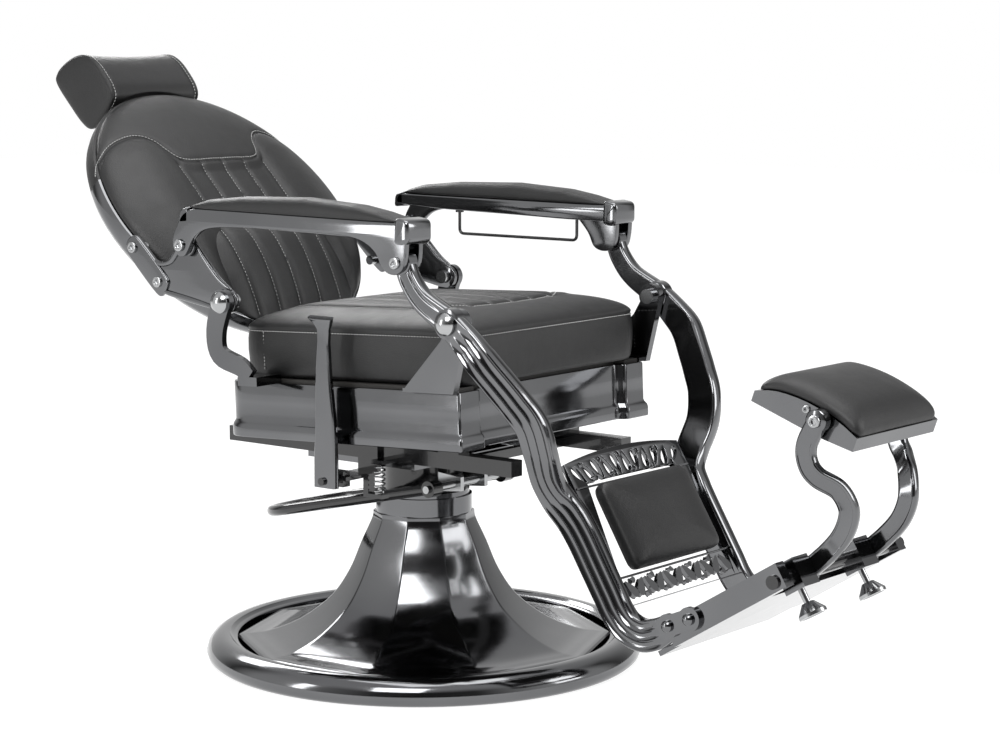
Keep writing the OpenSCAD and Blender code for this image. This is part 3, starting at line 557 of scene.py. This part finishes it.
def seat_cushion():
    half, front, rear = 226, -272, 185
    outline = rounded([(half, rear), (-half, rear), (-half + 4, front), (half - 4, front)],
                      [52, 52, 40, 40], 10)
    base, seam = 93.6, 171

    def height(q, rho):
        z = seam + crown(rho, 38, 2.9, 1.75)
        middle = step(150 - np.abs(q[:, 0]), -6, 10) * step(q[:, 1] + 190, -6, 10)
        return z + 2.0 * middle - 3.0 * step(q[:, 1], 60, 190) * (1 - rho)

    bend = whole([(60, -190), (118, -178), (147, -135), (150, -60), (150, 120)])
    shoe = np.vstack([[(-150, 178)], smooth(bend, 6), [(150, 178)]])
    channels = [np.array([(x, 178), (x, -188)]) for x in CHANNELS]
    grooves = [(shoe, 4.0, 3.6)] + [(c, 3.2, 4.2) for c in channels]
    pad = Pad(seat, outline, (0, -45), height, grooves, 640)
    walls = [(14, base), (6, base + 1.5), (2.5, base + 8), (0, base + 22), (-1.5, base + 42),
             (-1.0, base + 60), (0.5, seam - 7), (1.6, seam - 2.5)]
    pad.mesh(walls, 120).piece("seat_cushion_leather", "seat", "black_leather", ["seat_cushion"], pad=0.85,
                               sharp=80)
    thread = Build()
    rim = pad.place(pad.ring(0.4, seam - 4.5))
    rim = np.vstack([rim, rim[:1]])
    out = rim - pad.place(np.array([[0, -45, seam - 4.5]]))
    stitch_row(thread, rim, out)
    here, up = pad.on_top(shoe * [1.03, 1.0] + [0, -3.0], 400)
    stitch_row(thread, here, up)
    for c in channels:
        here, up = pad.on_top(c)
        stitch_row(thread, here, up, pitch=6.0, thick=0.6)
    for side in (-1, 1):
        for y in (128, -238):
            column = seat(np.array([(side * (half - (0.6 if y > 0 else 4.2)), y, z)
                                    for z in np.linspace(base + 12, seam - 6, 20)]))
            stitch_row(thread, column, np.tile([side, 0, 0], (20, 1)))
    thread.piece("seat_stitching", "seat", "black_leather", materials=[THREAD])


YOKE = whole([(58, 334), (74, 335), (88, 339), (97, 348), (104, 361), (112, 379), (125, 394), (138, 401),
              (155, 404), (178, 401), (203, 392), (227, 374), (246, 351), (262, 322)])


def back_cushion():
    round_top = circle(256, 720, (0, SHELL_CENTRE))
    yoke_line = smooth(YOKE, 4)

    def height(q, rho):
        z = -96 + crown(rho, 44, 2.9, 1.8)
        x, u = np.abs(q[:, 0]), q[:, 1]
        under = np.interp(q[:, 0], yoke_line[:, 0], yoke_line[:, 1]) - u
        z = z - 6.0 * step(112 - x, -14, 30) * step(under, -2, 24) * (1 - rho ** 4)
        z = z + 4.0 * np.exp(-((x - 168) / 46) ** 2) * step(under, 0, 40) * (1 - rho ** 6)
        return z - 16 * step(u, 205, 120) * step(160 - x, 0, 40)

    grooves = [(yoke_line, 5.0, 3.6)] + [(np.array([(x, 332), (x, 150)]), 3.2, 3.8) for x in CHANNELS]
    pad = Pad(face_on(back), round_top, (0, SHELL_CENTRE), height, grooves, 720)
    walls = [(10, -97.4), (3, -97.2), (0.5, -96.6)]
    pad.mesh(walls, 130).piece("back_cushion_leather", "back", "black_leather", ["back_cushion"], pad=0.8,
                               sharp=80)
    thread = Build()
    here, up = pad.on_top((yoke_line + [0, 3.6])[3:-3], 520)
    stitch_row(thread, here, up)
    for x in CHANNELS:
        here, up = pad.on_top(np.array([(x, 330), (x, 200)]), 120)
        stitch_row(thread, here, up, pitch=6.0, thick=0.6)
    thread.piece("back_stitching", "back", "black_leather", materials=[THREAD])


def lumbar_cushion():
    half = 150
    outline = rounded([(half, 214), (-half, 214), (-half - 2, 80), (-half + 26, 24), (half - 26, 24),
                       (half + 2, 80)], [40, 40, 60, 34, 34, 60], 8)
    front = smooth([(20, 90), (40, 86), (66, 77), (110, 63), (150, 55), (190, 52), (220, 52)], 8)

    def height(q, rho):
        face = np.interp(q[:, 1], front[:, 0], front[:, 1])
        return -97 + (97 - face) * np.clip(1 - rho ** 5, 0, 1) ** (1 / 2.1) + 4.0 * (1 - rho ** 2)

    grooves = [(np.array([(x * 1.04, 216), (x, 22)]), 5.0, 5.0) for x in CHANNELS]
    pad = Pad(face_on(back), outline, (0, 118), height, grooves, 560)
    walls = [(8, -97.4), (1, -97.2)]
    pad.mesh(walls, 110).piece("lumbar_leather", "back", "black_leather", ["lumbar_cushion"],
                               pad=0.85, sharp=80)
    thread = Build()
    for x in CHANNELS:
        here, up = pad.on_top(np.array([(x * 1.04, 205), (x, 32)]), 200)
        stitch_row(thread, here, up, pitch=6.0, thick=0.65)
    thread.piece("lumbar_stitching", "back", "black_leather", materials=[THREAD])


def headrest():
    section = smooth([(182, 575), (181, 540), (174, 519), (156, 513), (124, 513), (98, 517), (87, 533),
                      (84, 560), (85, 588), (94, 612), (112, 628), (140, 638), (166, 640), (180, 628)],
                     10, closed=True)
    section = resample(section, 180, closed=True)
    centre = np.array([134, 576])
    end = 103

    def ring(x, scale, lift=0.0):
        p = centre + (section - centre) * scale
        r = np.linalg.norm(p - centre, axis=1)[:, None]
        p = p + (p - centre) / r * lift
        u = np.maximum(p[:, 1], SHELL_CENTRE + np.sqrt(np.clip(264.0 ** 2 - x * x, 0, None)))
        return back(np.column_stack([np.full(len(p), float(x)), p[:, 0], u]))

    cap = [(-3.5, 0.04, 0), (-3.2, 0.3, 0), (-2.6, 0.6, 0), (-1.4, 0.85, 0), (0, 0.955, 0), (0.6, 0.975, 0),
           (1.2, 1, -1.0), (2.0, 1, 0.9), (3.6, 1, 1.3), (5.2, 1, 0.6), (6.2, 1, -1.2), (8, 1, -0.5),
           (13, 1, 0.3)]
    start = [(-end + inwards, scale, lift) for inwards, scale, lift in cap]
    body = [(x, 1, 0.2 - 3.0 * (1 - (x / 90) ** 2)) for x in np.linspace(-84, 84, 40)]
    rows = start + body + [(-x, scale, lift) for x, scale, lift in reversed(start)]
    build = Build().rings([ring(*row) for row in rows])
    build.piece("headrest_leather", "headrest", "black_leather", ["headrest_pillow"], pad=0.85, sharp=70)
    thread = Build()
    for side in (-1, 1):
        x = side * (end - 9)
        line = ring(x, 1, 0.35)
        line = np.vstack([line, line[:1]])
        hub = back(np.array([[x, *centre]]))
        stitch_row(thread, line, line - hub)
    thread.piece("headrest_stitching", "headrest", "black_leather", materials=[THREAD])


def armrest_pads():
    for side, word in ((1, "left"), (-1, "right")):
        rows = []
        for t in np.linspace(0, 1, 70):
            y = -183 + 421 * t
            base = 720.5 + 4.0 * t
            lift = 26.5 * np.interp(t, [0, 0.02, 0.09, 0.2, 0.45, 0.75, 0.92, 0.985, 1],
                                    [0.12, 0.22, 0.5, 0.78, 1.0, 0.84, 0.56, 0.26, 0.12])
            half = 26.4 * np.interp(t, [0, 0.015, 0.05, 0.12, 0.9, 0.97, 1],
                                    [0.8, 0.88, 0.96, 1.0, 1.0, 0.93, 0.8])
            a = np.linspace(0, math.pi, 40)
            dome = np.stack([half * np.sign(np.cos(a)) * np.abs(np.cos(a)) ** 0.62,
                             base + 1.5 + (lift - 1.5) * np.sin(a) ** 0.75], axis=1)
            ring = np.vstack([[half - 1, base], dome, [-half + 1, base]])
            x = side * (257 + ring[:, 0])
            rows.append(world(np.column_stack([x, np.full(len(ring), y), ring[:, 1]])))
        Build().rings(rows).piece(f"armrest_leather_{word}", f"armrest_{word}", "black_leather",
                                  [f"armrest_pad_{word}"], pad=0.8, sharp=60)


def calf_cushion():
    outline = rounded([(110, -283), (-110, -283), (-111, -420), (111, -420)], [20, 20, 16, 16], 8)
    pad = Pad(face_on(leg), outline, (0, -352), lambda q, rho: 5.0 + crown(rho, 17.5, 3.4, 2.0), (), 420)
    pad.mesh([(6, -8.6), (1.5, -8.2), (0, -5), (-0.8, 0), (0, 4.2)], 60).piece(
        "calf_leather", "legrest", "black_leather", ["calf_pad"], pad=0.85, sharp=80)


def foot_cushion():
    arch = smooth([(-60, -3), (-20, 8.4), (30, 12.4), (80, 6.4), (116, -9)], 8)
    outline = rounded([(111, 112), (-111, 112), (-111, -57), (111, -57)], 14, 8)

    def floor(q):
        return np.interp(q[:, 1], arch[:, 0], arch[:, 1])

    pad = Pad(foot, outline, (0, 28), lambda q, rho: floor(q) + 4.5 + crown(rho, 21, 4.2, 2.1), (), 420)
    walls = [(5, lambda q: floor(q) + 0.3), (0.8, lambda q: floor(q) + 0.8), (0, lambda q: floor(q) + 3)]
    pad.mesh(walls, 60).piece("foot_pad_leather", "foot_pad", "black_leather", ["foot_pad_cushion"],
                              pad=0.85, sharp=80)


for make in (seat_cushion, back_cushion, lumbar_cushion, headrest, armrest_pads, calf_cushion, foot_cushion):
    make()

# ---------------------------------------------------------------- side frames


def side_frames():
    arm = [(-186, 662), (-199, 634), (-224, 606), (-272, 578), (-306, 550)]
    knee = [(-21, -72, 262), (-24, -110, 249), (-26, -148, 235), (-25, -184, 222), (-9, -222, 210),
            (16, -256, 188), (27, -284, 169), (26, -316, 159), (25, -350, 156), (25, -395, 156),
            (25, -440, 156), (25, -468, 156), (19, -494, 156), (2, -514, 156), (-20, -522, 156),
            (-48, -523, 156)]
    c, s = math.cos(math.radians(LEG_ANGLE)), math.sin(math.radians(LEG_ANGLE))
    from_pivot = np.array(arm) - FRONT / MM
    upper = [(y * c - z * s, y * s + z * c, 263) for y, z in from_pivot]
    path = smooth(upper + knee, 9)
    index = np.arange(len(path))
    knots = 9 * np.array([0, 2, 3, 4, 5, 8, 12, 15, 19, 20])
    widths = np.interp(index, knots, [31, 34, 40, 46, 50, 52, 52, 50, 46, 38])
    thick = np.interp(index, knots, [18, 19, 20, 21, 22, 22, 22, 22, 22, 20])
    flutes = step(index, 9 * 3.4, 9 * 4.2) * step(index, 9 * 19.6, 9 * 18.9)
    loop = step(index, 4, 9) * step(index, 9 * 2.9, 9 * 2.3)

    def relief(v, i):
        u = (v + 0.86) / 1.72
        cut = np.where((u > 0) & (u < 1), np.abs(np.sin(3 * math.pi * np.clip(u, 0, 1))) ** 0.7, 0)
        line = np.exp(-((np.abs(v) - 0.5) / 0.1) ** 2)
        return 4.2 * flutes[i] * cut + 1.3 * loop[i] * line

    for side, word in ((1, "left"), (-1, "right")):
        p = np.column_stack([side * path[:, 2], path[:, 0], path[:, 1]])
        build = Build().rings([leg(r) for r in bar_rings(p, widths, thick, relief, side)])
        build.rings(across(lathe([(15, 253), (17.5, 254), (17.5, 272), (16, 273)]), 0, -186, 662, side))
        build.rings(across(lathe([(20, 252), (23, 254), (23, 272), (21, 273)]), 0, -272, 578, side))
        build.piece(f"side_frame_metal_{word}", "legrest", "gunmetal", [f"side_frame_{word}"])


def foot_arms():
    top, eye = (-398, -370), (-246, -538)
    line = [(*top, 125), (-365, -391, 125), (-353, -414, 124), (-354, -436, 119), (-361, -462, 96),
            (-356, -488, 84), (-344, -505, 82), (-322, -520, 82), (-290, -530, 82), (*eye, 82)]
    path = smooth(line, 9)
    widths = np.full(len(path), 29.0)
    thick = np.full(len(path), 16.0)
    index = np.arange(len(path))
    ends = step(index, 5, 10) * step(index, len(path) - 12, len(path) - 18)

    def relief(v, i):
        return 1.8 * ends[i] * step(0.72 - np.abs(v), 0, 0.1)

    for side, word in ((1, "left"), (-1, "right")):
        p = np.column_stack([side * path[:, 2], path[:, 0], path[:, 1]])
        build = Build().rings([leg(r) for r in bar_rings(p, widths, thick, relief, side, 4.5, 40)])
        for (y, z), x, r in ((top, 117, 16), (eye, 74, 19)):
            ring = lathe([(r - 2, 0), (r, 1.5), (r, 14.5), (r - 2, 16)])
            build.rings(across(ring, x, y, z, side, leg))
        build.piece(f"foot_arm_metal_{word}", "footrest", "gunmetal", [f"foot_arm_{word}"])


# ---------------------------------------------------------------- pan, shell, base


def pan_outline(grow):
    """The pan from above: round corners at the rear and a shallow recess in the front."""
    side, front, recess, rear = 234 + grow, 268 + grow, 184 - grow * 0.4, 215 + grow
    corners = [(side, rear), (-side, rear), (-side, -front), (-recess, -front), (-recess + 7, -front + 15),
               (recess - 7, -front + 15), (recess, -front), (side, -front)]
    return rounded(corners, [55 + grow, 55 + grow, 4, 5, 5, 5, 5, 4], 9)


def seat_pan():
    profile = [(-7, 1), (-6, 0), (4, 0), (5, 1), (5.2, 8), (5, 15), (4, 19), (2.2, 22), (0.8, 24), (0, 27),
               (0, 55), (0, 84.5), (-0.8, 86.4), (-2, 87), (-6, 87), (-7, 86)]
    rings = []
    for grow, z in profile:
        outline = pan_outline(grow)
        rings.append(seat(np.column_stack([outline, np.full(len(outline), z)])))
    Build().rings(rings, loop=True).piece("seat_pan_metal", "seat", "gunmetal", ["seat_pan"], sharp=30)


def back_shell():
    """The upper rim is wrapped in leather; the rest is plated."""
    count = 240
    profile = [(254, 97.9), (257, 97.7), (260, 99.5), (260.6, 108), (260, 118), (257, 129), (250, 138),
               (238, 144.5), (200, 148), (156, 150), (80, 151.5), (0.05, 152)]
    angle = np.linspace(0, 2 * math.pi, count, endpoint=False)
    inner = [(0.05, 148), (80, 147.5), (156, 146), (200, 143.5), (232, 140), (246, 133), (253, 124),
             (254, 112)]
    rings, owner = [], []
    for radius, depth in profile + inner:
        rings.append(back(np.column_stack([radius * np.cos(angle), np.full(count, float(depth)),
                                           SHELL_CENTRE + radius * np.sin(angle)])))
    rows = len(profile) + len(inner)
    leather_from, rim_rows = 340, 7
    for i in range(rows):
        for a in angle:
            wrapped = SHELL_CENTRE + 258 * math.sin(a + math.pi / count) > leather_from
            owner.append(1 if wrapped and i < rim_rows else 0)
    Build().rings(rings, owner, loop=True).piece("back_shell_metal", "back", "gunmetal", ["back_shell"],
                                                 materials=[GUNMETAL, LEATHER], sharp=50)


def base():
    rim = [(301, 34.4), (303, 35.8), (306, 36.2), (309, 37.5), (313, 41.2), (320, 42), (330, 40.2),
           (340, 34), (347, 25), (350, 14), (347.5, 6), (342, 1.2), (336, 0)]
    disc = [(68, 7), (68, 0.2), (300, 7)] + rim + [(68, 0.2)]
    Build().rings(lathe_world(disc), loop=True).piece("base_disc_metal", "base", "gunmetal", ["base_disc"],
                                                      sharp=35)
    facets = 10
    flare = smooth([(302, 0), (302, 30), (281, 34), (248, 39), (199, 59), (151, 95), (121, 138), (101, 185),
                    (84, 222), (81.5, 236)], 5)
    rings = []
    for r, z in flare:
        turn = np.radians(22) + np.arange(facets) * 2 * math.pi / facets
        outline = rounded(np.stack([r * np.cos(turn), r * np.sin(turn)], axis=1), min(5, r * 0.03), 4)
        rings.append(world(np.column_stack([outline, np.full(len(outline), z)])))
    Build().rings(rings).piece("base_skirt_metal", "base", "gunmetal", ["base_skirt"], sharp=18)


def lathe_world(profile):
    return [world(r) for r in lathe(profile, 240)]


# ---------------------------------------------------------------- armrests


def armrests():
    outer = smooth([(252, 714), (262, 698), (271, 682), (272, 664), (262, 650), (248, 650), (239, 661),
                    (228, 678), (206, 692), (170, 698), (110, 700), (30, 700), (-50, 699), (-98, 696),
                    (-126, 689), (-147, 675), (-158, 656), (-171, 646), (-187, 645), (-199, 654),
                    (-204, 670), (-206, 690), (-206, 706), (-202, 717), (-184, 720), (-100, 721),
                    (40, 722.4), (200, 724), (234, 722.5)], 4, closed=True)
    tray = rounded([(251, 723.6), (256, 706), (150, 700), (0, 697), (-110, 694), (-186, 694), (-206, 702),
                    (-206, 716), (-192, 720)], [10, 12, 20, 20, 20, 20, 8, 8, 8], 5)
    inner_ear = smooth([(-124, 698), (-146, 674), (-158, 652), (-176, 645), (-196, 650), (-203, 670),
                        (-204, 698)], 5)
    for side, word in ((1, "left"), (-1, "right")):
        build = Build()
        build.add(*side_plate(outer, 274.4, 284, side, bevel=0.002))
        build.add(*side_plate(tray, 231, 276, side, bevel=0.0025))
        build.add(*side_plate(inner_ear, 242, 250, side, bevel=0.0015))
        cap = rounded([(-185, 728), (-211, 724), (-211, 692), (-198, 686), (-183, 690)], [7, 9, 9, 6, 5], 6)
        build.add(*side_plate(cap, 229.5, 285.5, side, bevel=0.005))
        lip = rounded([(238, 727), (238, 702), (259, 700), (257, 722)], [4, 5, 6, 8], 5)
        build.add(*side_plate(lip, 231, 284, side, bevel=0.003))
        build.piece(f"armrest_metal_{word}", f"armrest_{word}", "gunmetal", [f"armrest_tray_{word}"],
                    sharp=42)
        bolt = Build()
        bolt.rings(across(lathe([(5, 0), (5, 34)]), 243, *(BOLT_FRONT / MM), side))
        bolt.rings(across(lathe(socket_head(18, 4.5)), 284, *(BOLT_FRONT / MM), side))
        bolt.piece(f"fork_bolt_steel_{word}", f"armrest_{word}", "bright_steel", [f"fork_bolt_{word}"])
    bar = resample(rounded_rail([(-126, 702), (-126, 660), (120, 660), (120, 702)], 9), 120)
    rail = Build().rings([world(r) for r in tube(np.column_stack([np.full(len(bar), 240.0), bar]), 2.6)])
    for y in (-126, 120):
        rail.rings([world(r + np.array([240, y, 0])) for r in lathe([(7, 696), (7, 699.5), (5, 700.5)])])
    rail.piece("towel_bar_metal", "armrest_left", "black_gloss", ["towel_bar"])


def rounded_rail(points, radius):
    """An open path with its inner corners rounded."""
    p = np.array(points, float)
    out = [p[0]]
    for a, b, c in zip(p[:-2], p[1:-1], p[2:]):
        start = b + (a - b) / np.linalg.norm(a - b) * radius
        end = b + (c - b) / np.linalg.norm(c - b) * radius
        out += [(1 - t) ** 2 * start + 2 * t * (1 - t) * b + t * t * end for t in np.linspace(0, 1, 7)]
    return np.array(out + [p[-1]])


# ---------------------------------------------------------------- wings, lever, calf panel


def wings():
    r = REAR / MM
    web = smooth([(176, 56), (150, 47), (124, 54), (104, 78), (98, 96), (84, 101), (70, 92), (52, 66),
                  (20, 34), (-12, 16), (-20, 0), (-8, -16), (14, -18), (70, -7), (128, 2), (160, 8)],
                 5, closed=True) + r
    strap = smooth([(218, 86), (204, 93), (190, 86), (134, 33), (130, 16), (140, 3), (156, 4), (214, 58),
                    (222, 72)], 6, closed=True) + r
    ribs = [smooth([(168, 60), (148, 51), (124, 56), (105, 78), (97, 94)], 8),
            smooth([(70, 88), (50, 64), (18, 33), (-8, 18)], 8),
            smooth([(12, -14), (70, -4), (126, 5), (154, 11)], 8)]
    for side, word in ((1, "left"), (-1, "right")):
        build = Build()
        build.add(*side_plate(web, 262.5, 268, side, bevel=0.0015))
        build.add(*side_plate(strap, 262.2, 271.5, side, bevel=0.0025))
        for rib in ribs:
            line = np.column_stack([np.full(len(rib), side * 267.0), rib + r])
            size = 4.6 * np.sqrt(np.sin(np.linspace(0.12, math.pi - 0.12, len(rib)))) + 0.3
            build.rings([world(q) for q in tube(line, size)])
        build.rings(across(lathe([(15, 0), (17, 1.5), (17, 8.5), (15, 10)]), 261.5, *(BOLT_REAR / MM), side))
        build.rings(across(lathe([(17, 0), (19, 1.5), (19, 8.5), (17, 10)]), 262, *r, side))
        build.piece(f"back_wing_metal_{word}", "back", "gunmetal", [f"back_wing_{word}"])
    bolts, pins = Build(), Build()
    for side in (-1, 1):
        for p in ((206, 74), (150, 22)):
            y, z = r + p
            bolts.rings(across(lathe([(8, 0), (8, 27)]), 236, y, z, side))
            bolts.rings(across(lathe(socket_head(18)), 270.5, y, z, side))
        pins.rings(across(lathe([(5, 0), (5, 24)]), 261, *(BOLT_REAR / MM), side))
        pins.rings(across(lathe(socket_head(19, 4.5)), 284.8, *(BOLT_REAR / MM), side))
    bolts.piece("wing_bolts_steel", "back", "bright_steel", ["wing_bolts"])
    pins.piece("armrest_pins_steel", "back", "bright_steel", ["armrest_pins"])


def recline_lever():
    line = smooth([(-258, -24, 310), (-258, -24, 350), (-258, -24, 410), (-258, -21, 470), (-258, -21, 520),
                   (-258.5, -22, 548), (-261, -22, 562), (-266, -22, 570)], 9)
    i = np.linspace(0, 1, len(line))
    widths = np.interp(i, [0, 0.15, 0.3, 0.5, 0.62, 0.74, 0.88, 1], [43, 43, 38, 27, 22, 24, 40, 50])
    thick = np.interp(i, [0, 0.6, 1], [12, 10, 8])
    rings = bar_rings(line, widths, thick, lambda v, k: 0.6 * (v * v - 1), -1, 3.5)
    build = Build().rings([world(r) for r in rings])
    build.piece("recline_lever_metal", "lever", "gunmetal", ["recline_lever"])


def calf_panel():
    half = 146
    top = [(x, -228 - (x / half) ** 2 * 12) for x in np.linspace(half, -half, 25)]
    outline = np.array(top + [(-half, -468), (half, -468)])

    def drop(x, z, long, wide, turn):
        a = np.linspace(0, 2 * math.pi, 26, endpoint=False)
        p = np.stack([long / 2 * np.cos(a), wide / 2 * np.sin(a) * (1 - 0.55 * np.cos(a))], axis=1)
        c, s = math.cos(turn), math.sin(turn)
        return np.stack([x + p[:, 0] * c - p[:, 1] * s, z + p[:, 0] * s + p[:, 1] * c], axis=1)

    holes = []
    pitch, low_row = 24.5, -444
    for k in range(-5, 6):
        x = k * pitch
        z = -254 - (x / half) ** 2 * 9
        holes.append(drop(x, z, 34, 13, math.radians(90 - 7.5 * k + (180 if k % 2 else 0))))
        holes.append(drop(x, low_row, 30, 12, math.radians(90 + (34 if k % 2 else -34))))
    for k in range(-5, 5):
        x = (k + 0.5) * pitch
        side = 1 if k % 2 else -1
        z = -241 - (x / half) ** 2 * 10 if side > 0 else -268 - (x / half) ** 2 * 5
        holes.append(drop(x, z, 8, 7, 0.5 * k))
        holes.append(drop(x, low_row + 12 * side, 9, 6, 0.4 * k))
    verts, faces = plate(outline, 8, holes, 0.0009)
    world_verts = leg(np.column_stack([verts[:, 0], 13 - verts[:, 2], verts[:, 1]]))
    build = Build().add(world_verts, faces)
    for z in (-281, -425):
        bead = [(x, 8.6, z) for x in np.linspace(-half + 2, half - 2, 30)]
        build.rings([leg(r) for r in tube(bead, 1.8, 10)])
    build.piece("calf_panel_metal", "legrest", "gunmetal", ["calf_panel"], sharp=45)


def foot_bolts():
    build = Build()
    y, z = FOOT_PIVOT / MM
    build.rings(across(lathe([(5, 0), (5, 268)]), -134, y, z))
    for side in (-1, 1):
        build.rings(across(lathe(socket_head(18)), 134, y, z, side))
        build.rings(across(lathe(socket_head(12, 3)), 113, y + 26, z + 12, side))
    build.piece("foot_pad_bolts_steel", "foot_pad", "bright_steel", ["foot_pad_bolts"])


for make in (side_frames, foot_arms, seat_pan, back_shell, base, armrests, wings, recline_lever, calf_panel,
             foot_bolts):
    make()

# ---------------------------------------------------------------- frame nodes that stay

ROUND_EDGE = {
    "base_collar": 0.002, "lift_sleeve": 0.001, "lift_head": 0.001, "swivel_plate": 0.001,
    "seat_rails": 0.002, "rear_bracket_left": 0.003, "rear_bracket_right": 0.003,
    "front_bracket_left": 0.002,
    "front_bracket_right": 0.002, "link_plates": 0.0012, "foot_platform": 0.002, "clamp_blocks": 0.003,
    "foot_pad_tray": 0.002, "lever_mount": 0.001, "foot_crossbar": 0.0015,
}
finish_of = {s["node"]: s["material_slot"] for s in frame["record"]["subparts"]}
PLATED = ("rear_bracket", "front_bracket", "link_plates", "clamp_blocks", "swivel_plate", "base_collar")
for node, obj in frame["nodes"].items():
    obj.data.materials.clear()
    obj.data.materials.append(GUNMETAL if node.startswith(PLATED) else FINISH[finish_of[node]])
    if node in ROUND_EDGE:
        soften(obj, ROUND_EDGE[node])

# ---------------------------------------------------------------- floor and light


def band_ramp(tree, factor, stops):
    """A colour ramp of greys from (position, value) stops."""
    node = tree.nodes.new("ShaderNodeValToRGB")
    while len(node.color_ramp.elements) > 1:
        node.color_ramp.elements.remove(node.color_ramp.elements[0])
    for i, (position, value) in enumerate(stops):
        element = node.color_ramp.elements[0] if i == 0 else node.color_ramp.elements.new(position)
        element.position = position
        element.color = (value, value, value, 1)
    tree.links.new(factor, node.inputs["Fac"])
    return node.outputs["Color"]


def studio():
    mesh = bpy.data.meshes.new("floor")
    mesh.from_pydata([(-14, -14, 0), (14, -14, 0), (14, 14, 0), (-14, 14, 0)], [], [(0, 1, 2, 3)])
    floor = bpy.data.objects.new("floor", mesh)
    bpy.context.scene.collection.objects.link(floor)
    material, shader, coords, add, link = new_material("floor")
    tone = add("ShaderNodeTexNoise", Vector=coords, Scale=1.5, Detail=2.0)
    link(ramp(add, tone.outputs["Fac"], (0.22, 0.22, 0.22), (0.24, 0.24, 0.24)), shader.inputs["Base Color"])
    shader.inputs["Roughness"].default_value = 0.9
    shader.inputs["Specular IOR Level"].default_value = 0.0
    shader.inputs["Emission Color"].default_value = (1, 1, 1, 1)
    shader.inputs["Emission Strength"].default_value = 0.90
    mesh.materials.append(material)

    sky = bpy.data.worlds.new("studio")
    bpy.context.scene.world = sky
    sky.use_nodes = True
    tree = sky.node_tree
    tree.nodes.clear()
    coords = tree.nodes.new("ShaderNodeTexCoord")
    split = tree.nodes.new("ShaderNodeSeparateXYZ")
    around = tree.nodes.new("ShaderNodeTexGradient")
    around.gradient_type = "RADIAL"
    tree.links.new(coords.outputs["Generated"], around.inputs["Vector"])
    tree.links.new(coords.outputs["Generated"], split.inputs["Vector"])
    bands = band_ramp(tree, around.outputs["Fac"],
                      [(0.0, 0.30), (0.04, 0.10), (0.11, 0.05), (0.19, 0.10), (0.24, 0.55), (0.30, 0.95),
                       (0.41, 0.85), (0.45, 0.12), (0.50, 0.45), (0.60, 0.95), (0.72, 0.70), (0.78, 0.10),
                       (0.83, 0.90), (0.92, 1.0), (0.96, 0.45), (1.0, 0.30)])
    above = band_ramp(tree, split.outputs["Z"], [(0.0, 0.0), (0.55, 0.0), (0.80, 1.0), (1.0, 1.0)])
    shade = tree.nodes.new("ShaderNodeMixRGB")
    shade.inputs[2].default_value = (0.85, 0.85, 0.86, 1)
    tree.links.new(above, shade.inputs[0])
    tree.links.new(bands, shade.inputs[1])
    seen = tree.nodes.new("ShaderNodeBackground")
    seen.inputs["Color"].default_value = (1, 1, 1, 1)
    light = tree.nodes.new("ShaderNodeBackground")
    mix = tree.nodes.new("ShaderNodeMixShader")
    path = tree.nodes.new("ShaderNodeLightPath")
    out = tree.nodes.new("ShaderNodeOutputWorld")
    tree.links.new(shade.outputs["Color"], light.inputs["Color"])
    tree.links.new(path.outputs["Is Camera Ray"], mix.inputs[0])
    tree.links.new(light.outputs["Background"], mix.inputs[1])
    tree.links.new(seen.outputs["Background"], mix.inputs[2])
    tree.links.new(mix.outputs["Shader"], out.inputs["Surface"])
    light.inputs["Strength"].default_value = 0.9

    lamps = [("key", (-2.6, -1.2, 3.0), (1.6, 1.6), 75), ("fill", (1.8, -3.4, 1.8), (1.2, 2.2), 42),
             ("back", (1.2, 2.9, 2.4), (2.4, 0.8), 55), ("side", (-3.4, 1.6, 1.3), (0.5, 2.2), 26),
             ("top", (0.2, -0.2, 3.6), (2.4, 2.4), 60)]
    for name, place, size, power in lamps:
        data = bpy.data.lights.new(name, "AREA")
        data.shape = "RECTANGLE"
        data.size, data.size_y = size
        data.energy = power
        lamp = bpy.data.objects.new(name, data)
        lamp.location = place
        lamp.rotation_euler = (Vector((0, -0.1, 0.55)) - Vector(place)).to_track_quat("-Z", "Y").to_euler()
        bpy.context.scene.collection.objects.link(lamp)
    bpy.context.scene.view_settings.view_transform = "Standard"


studio()
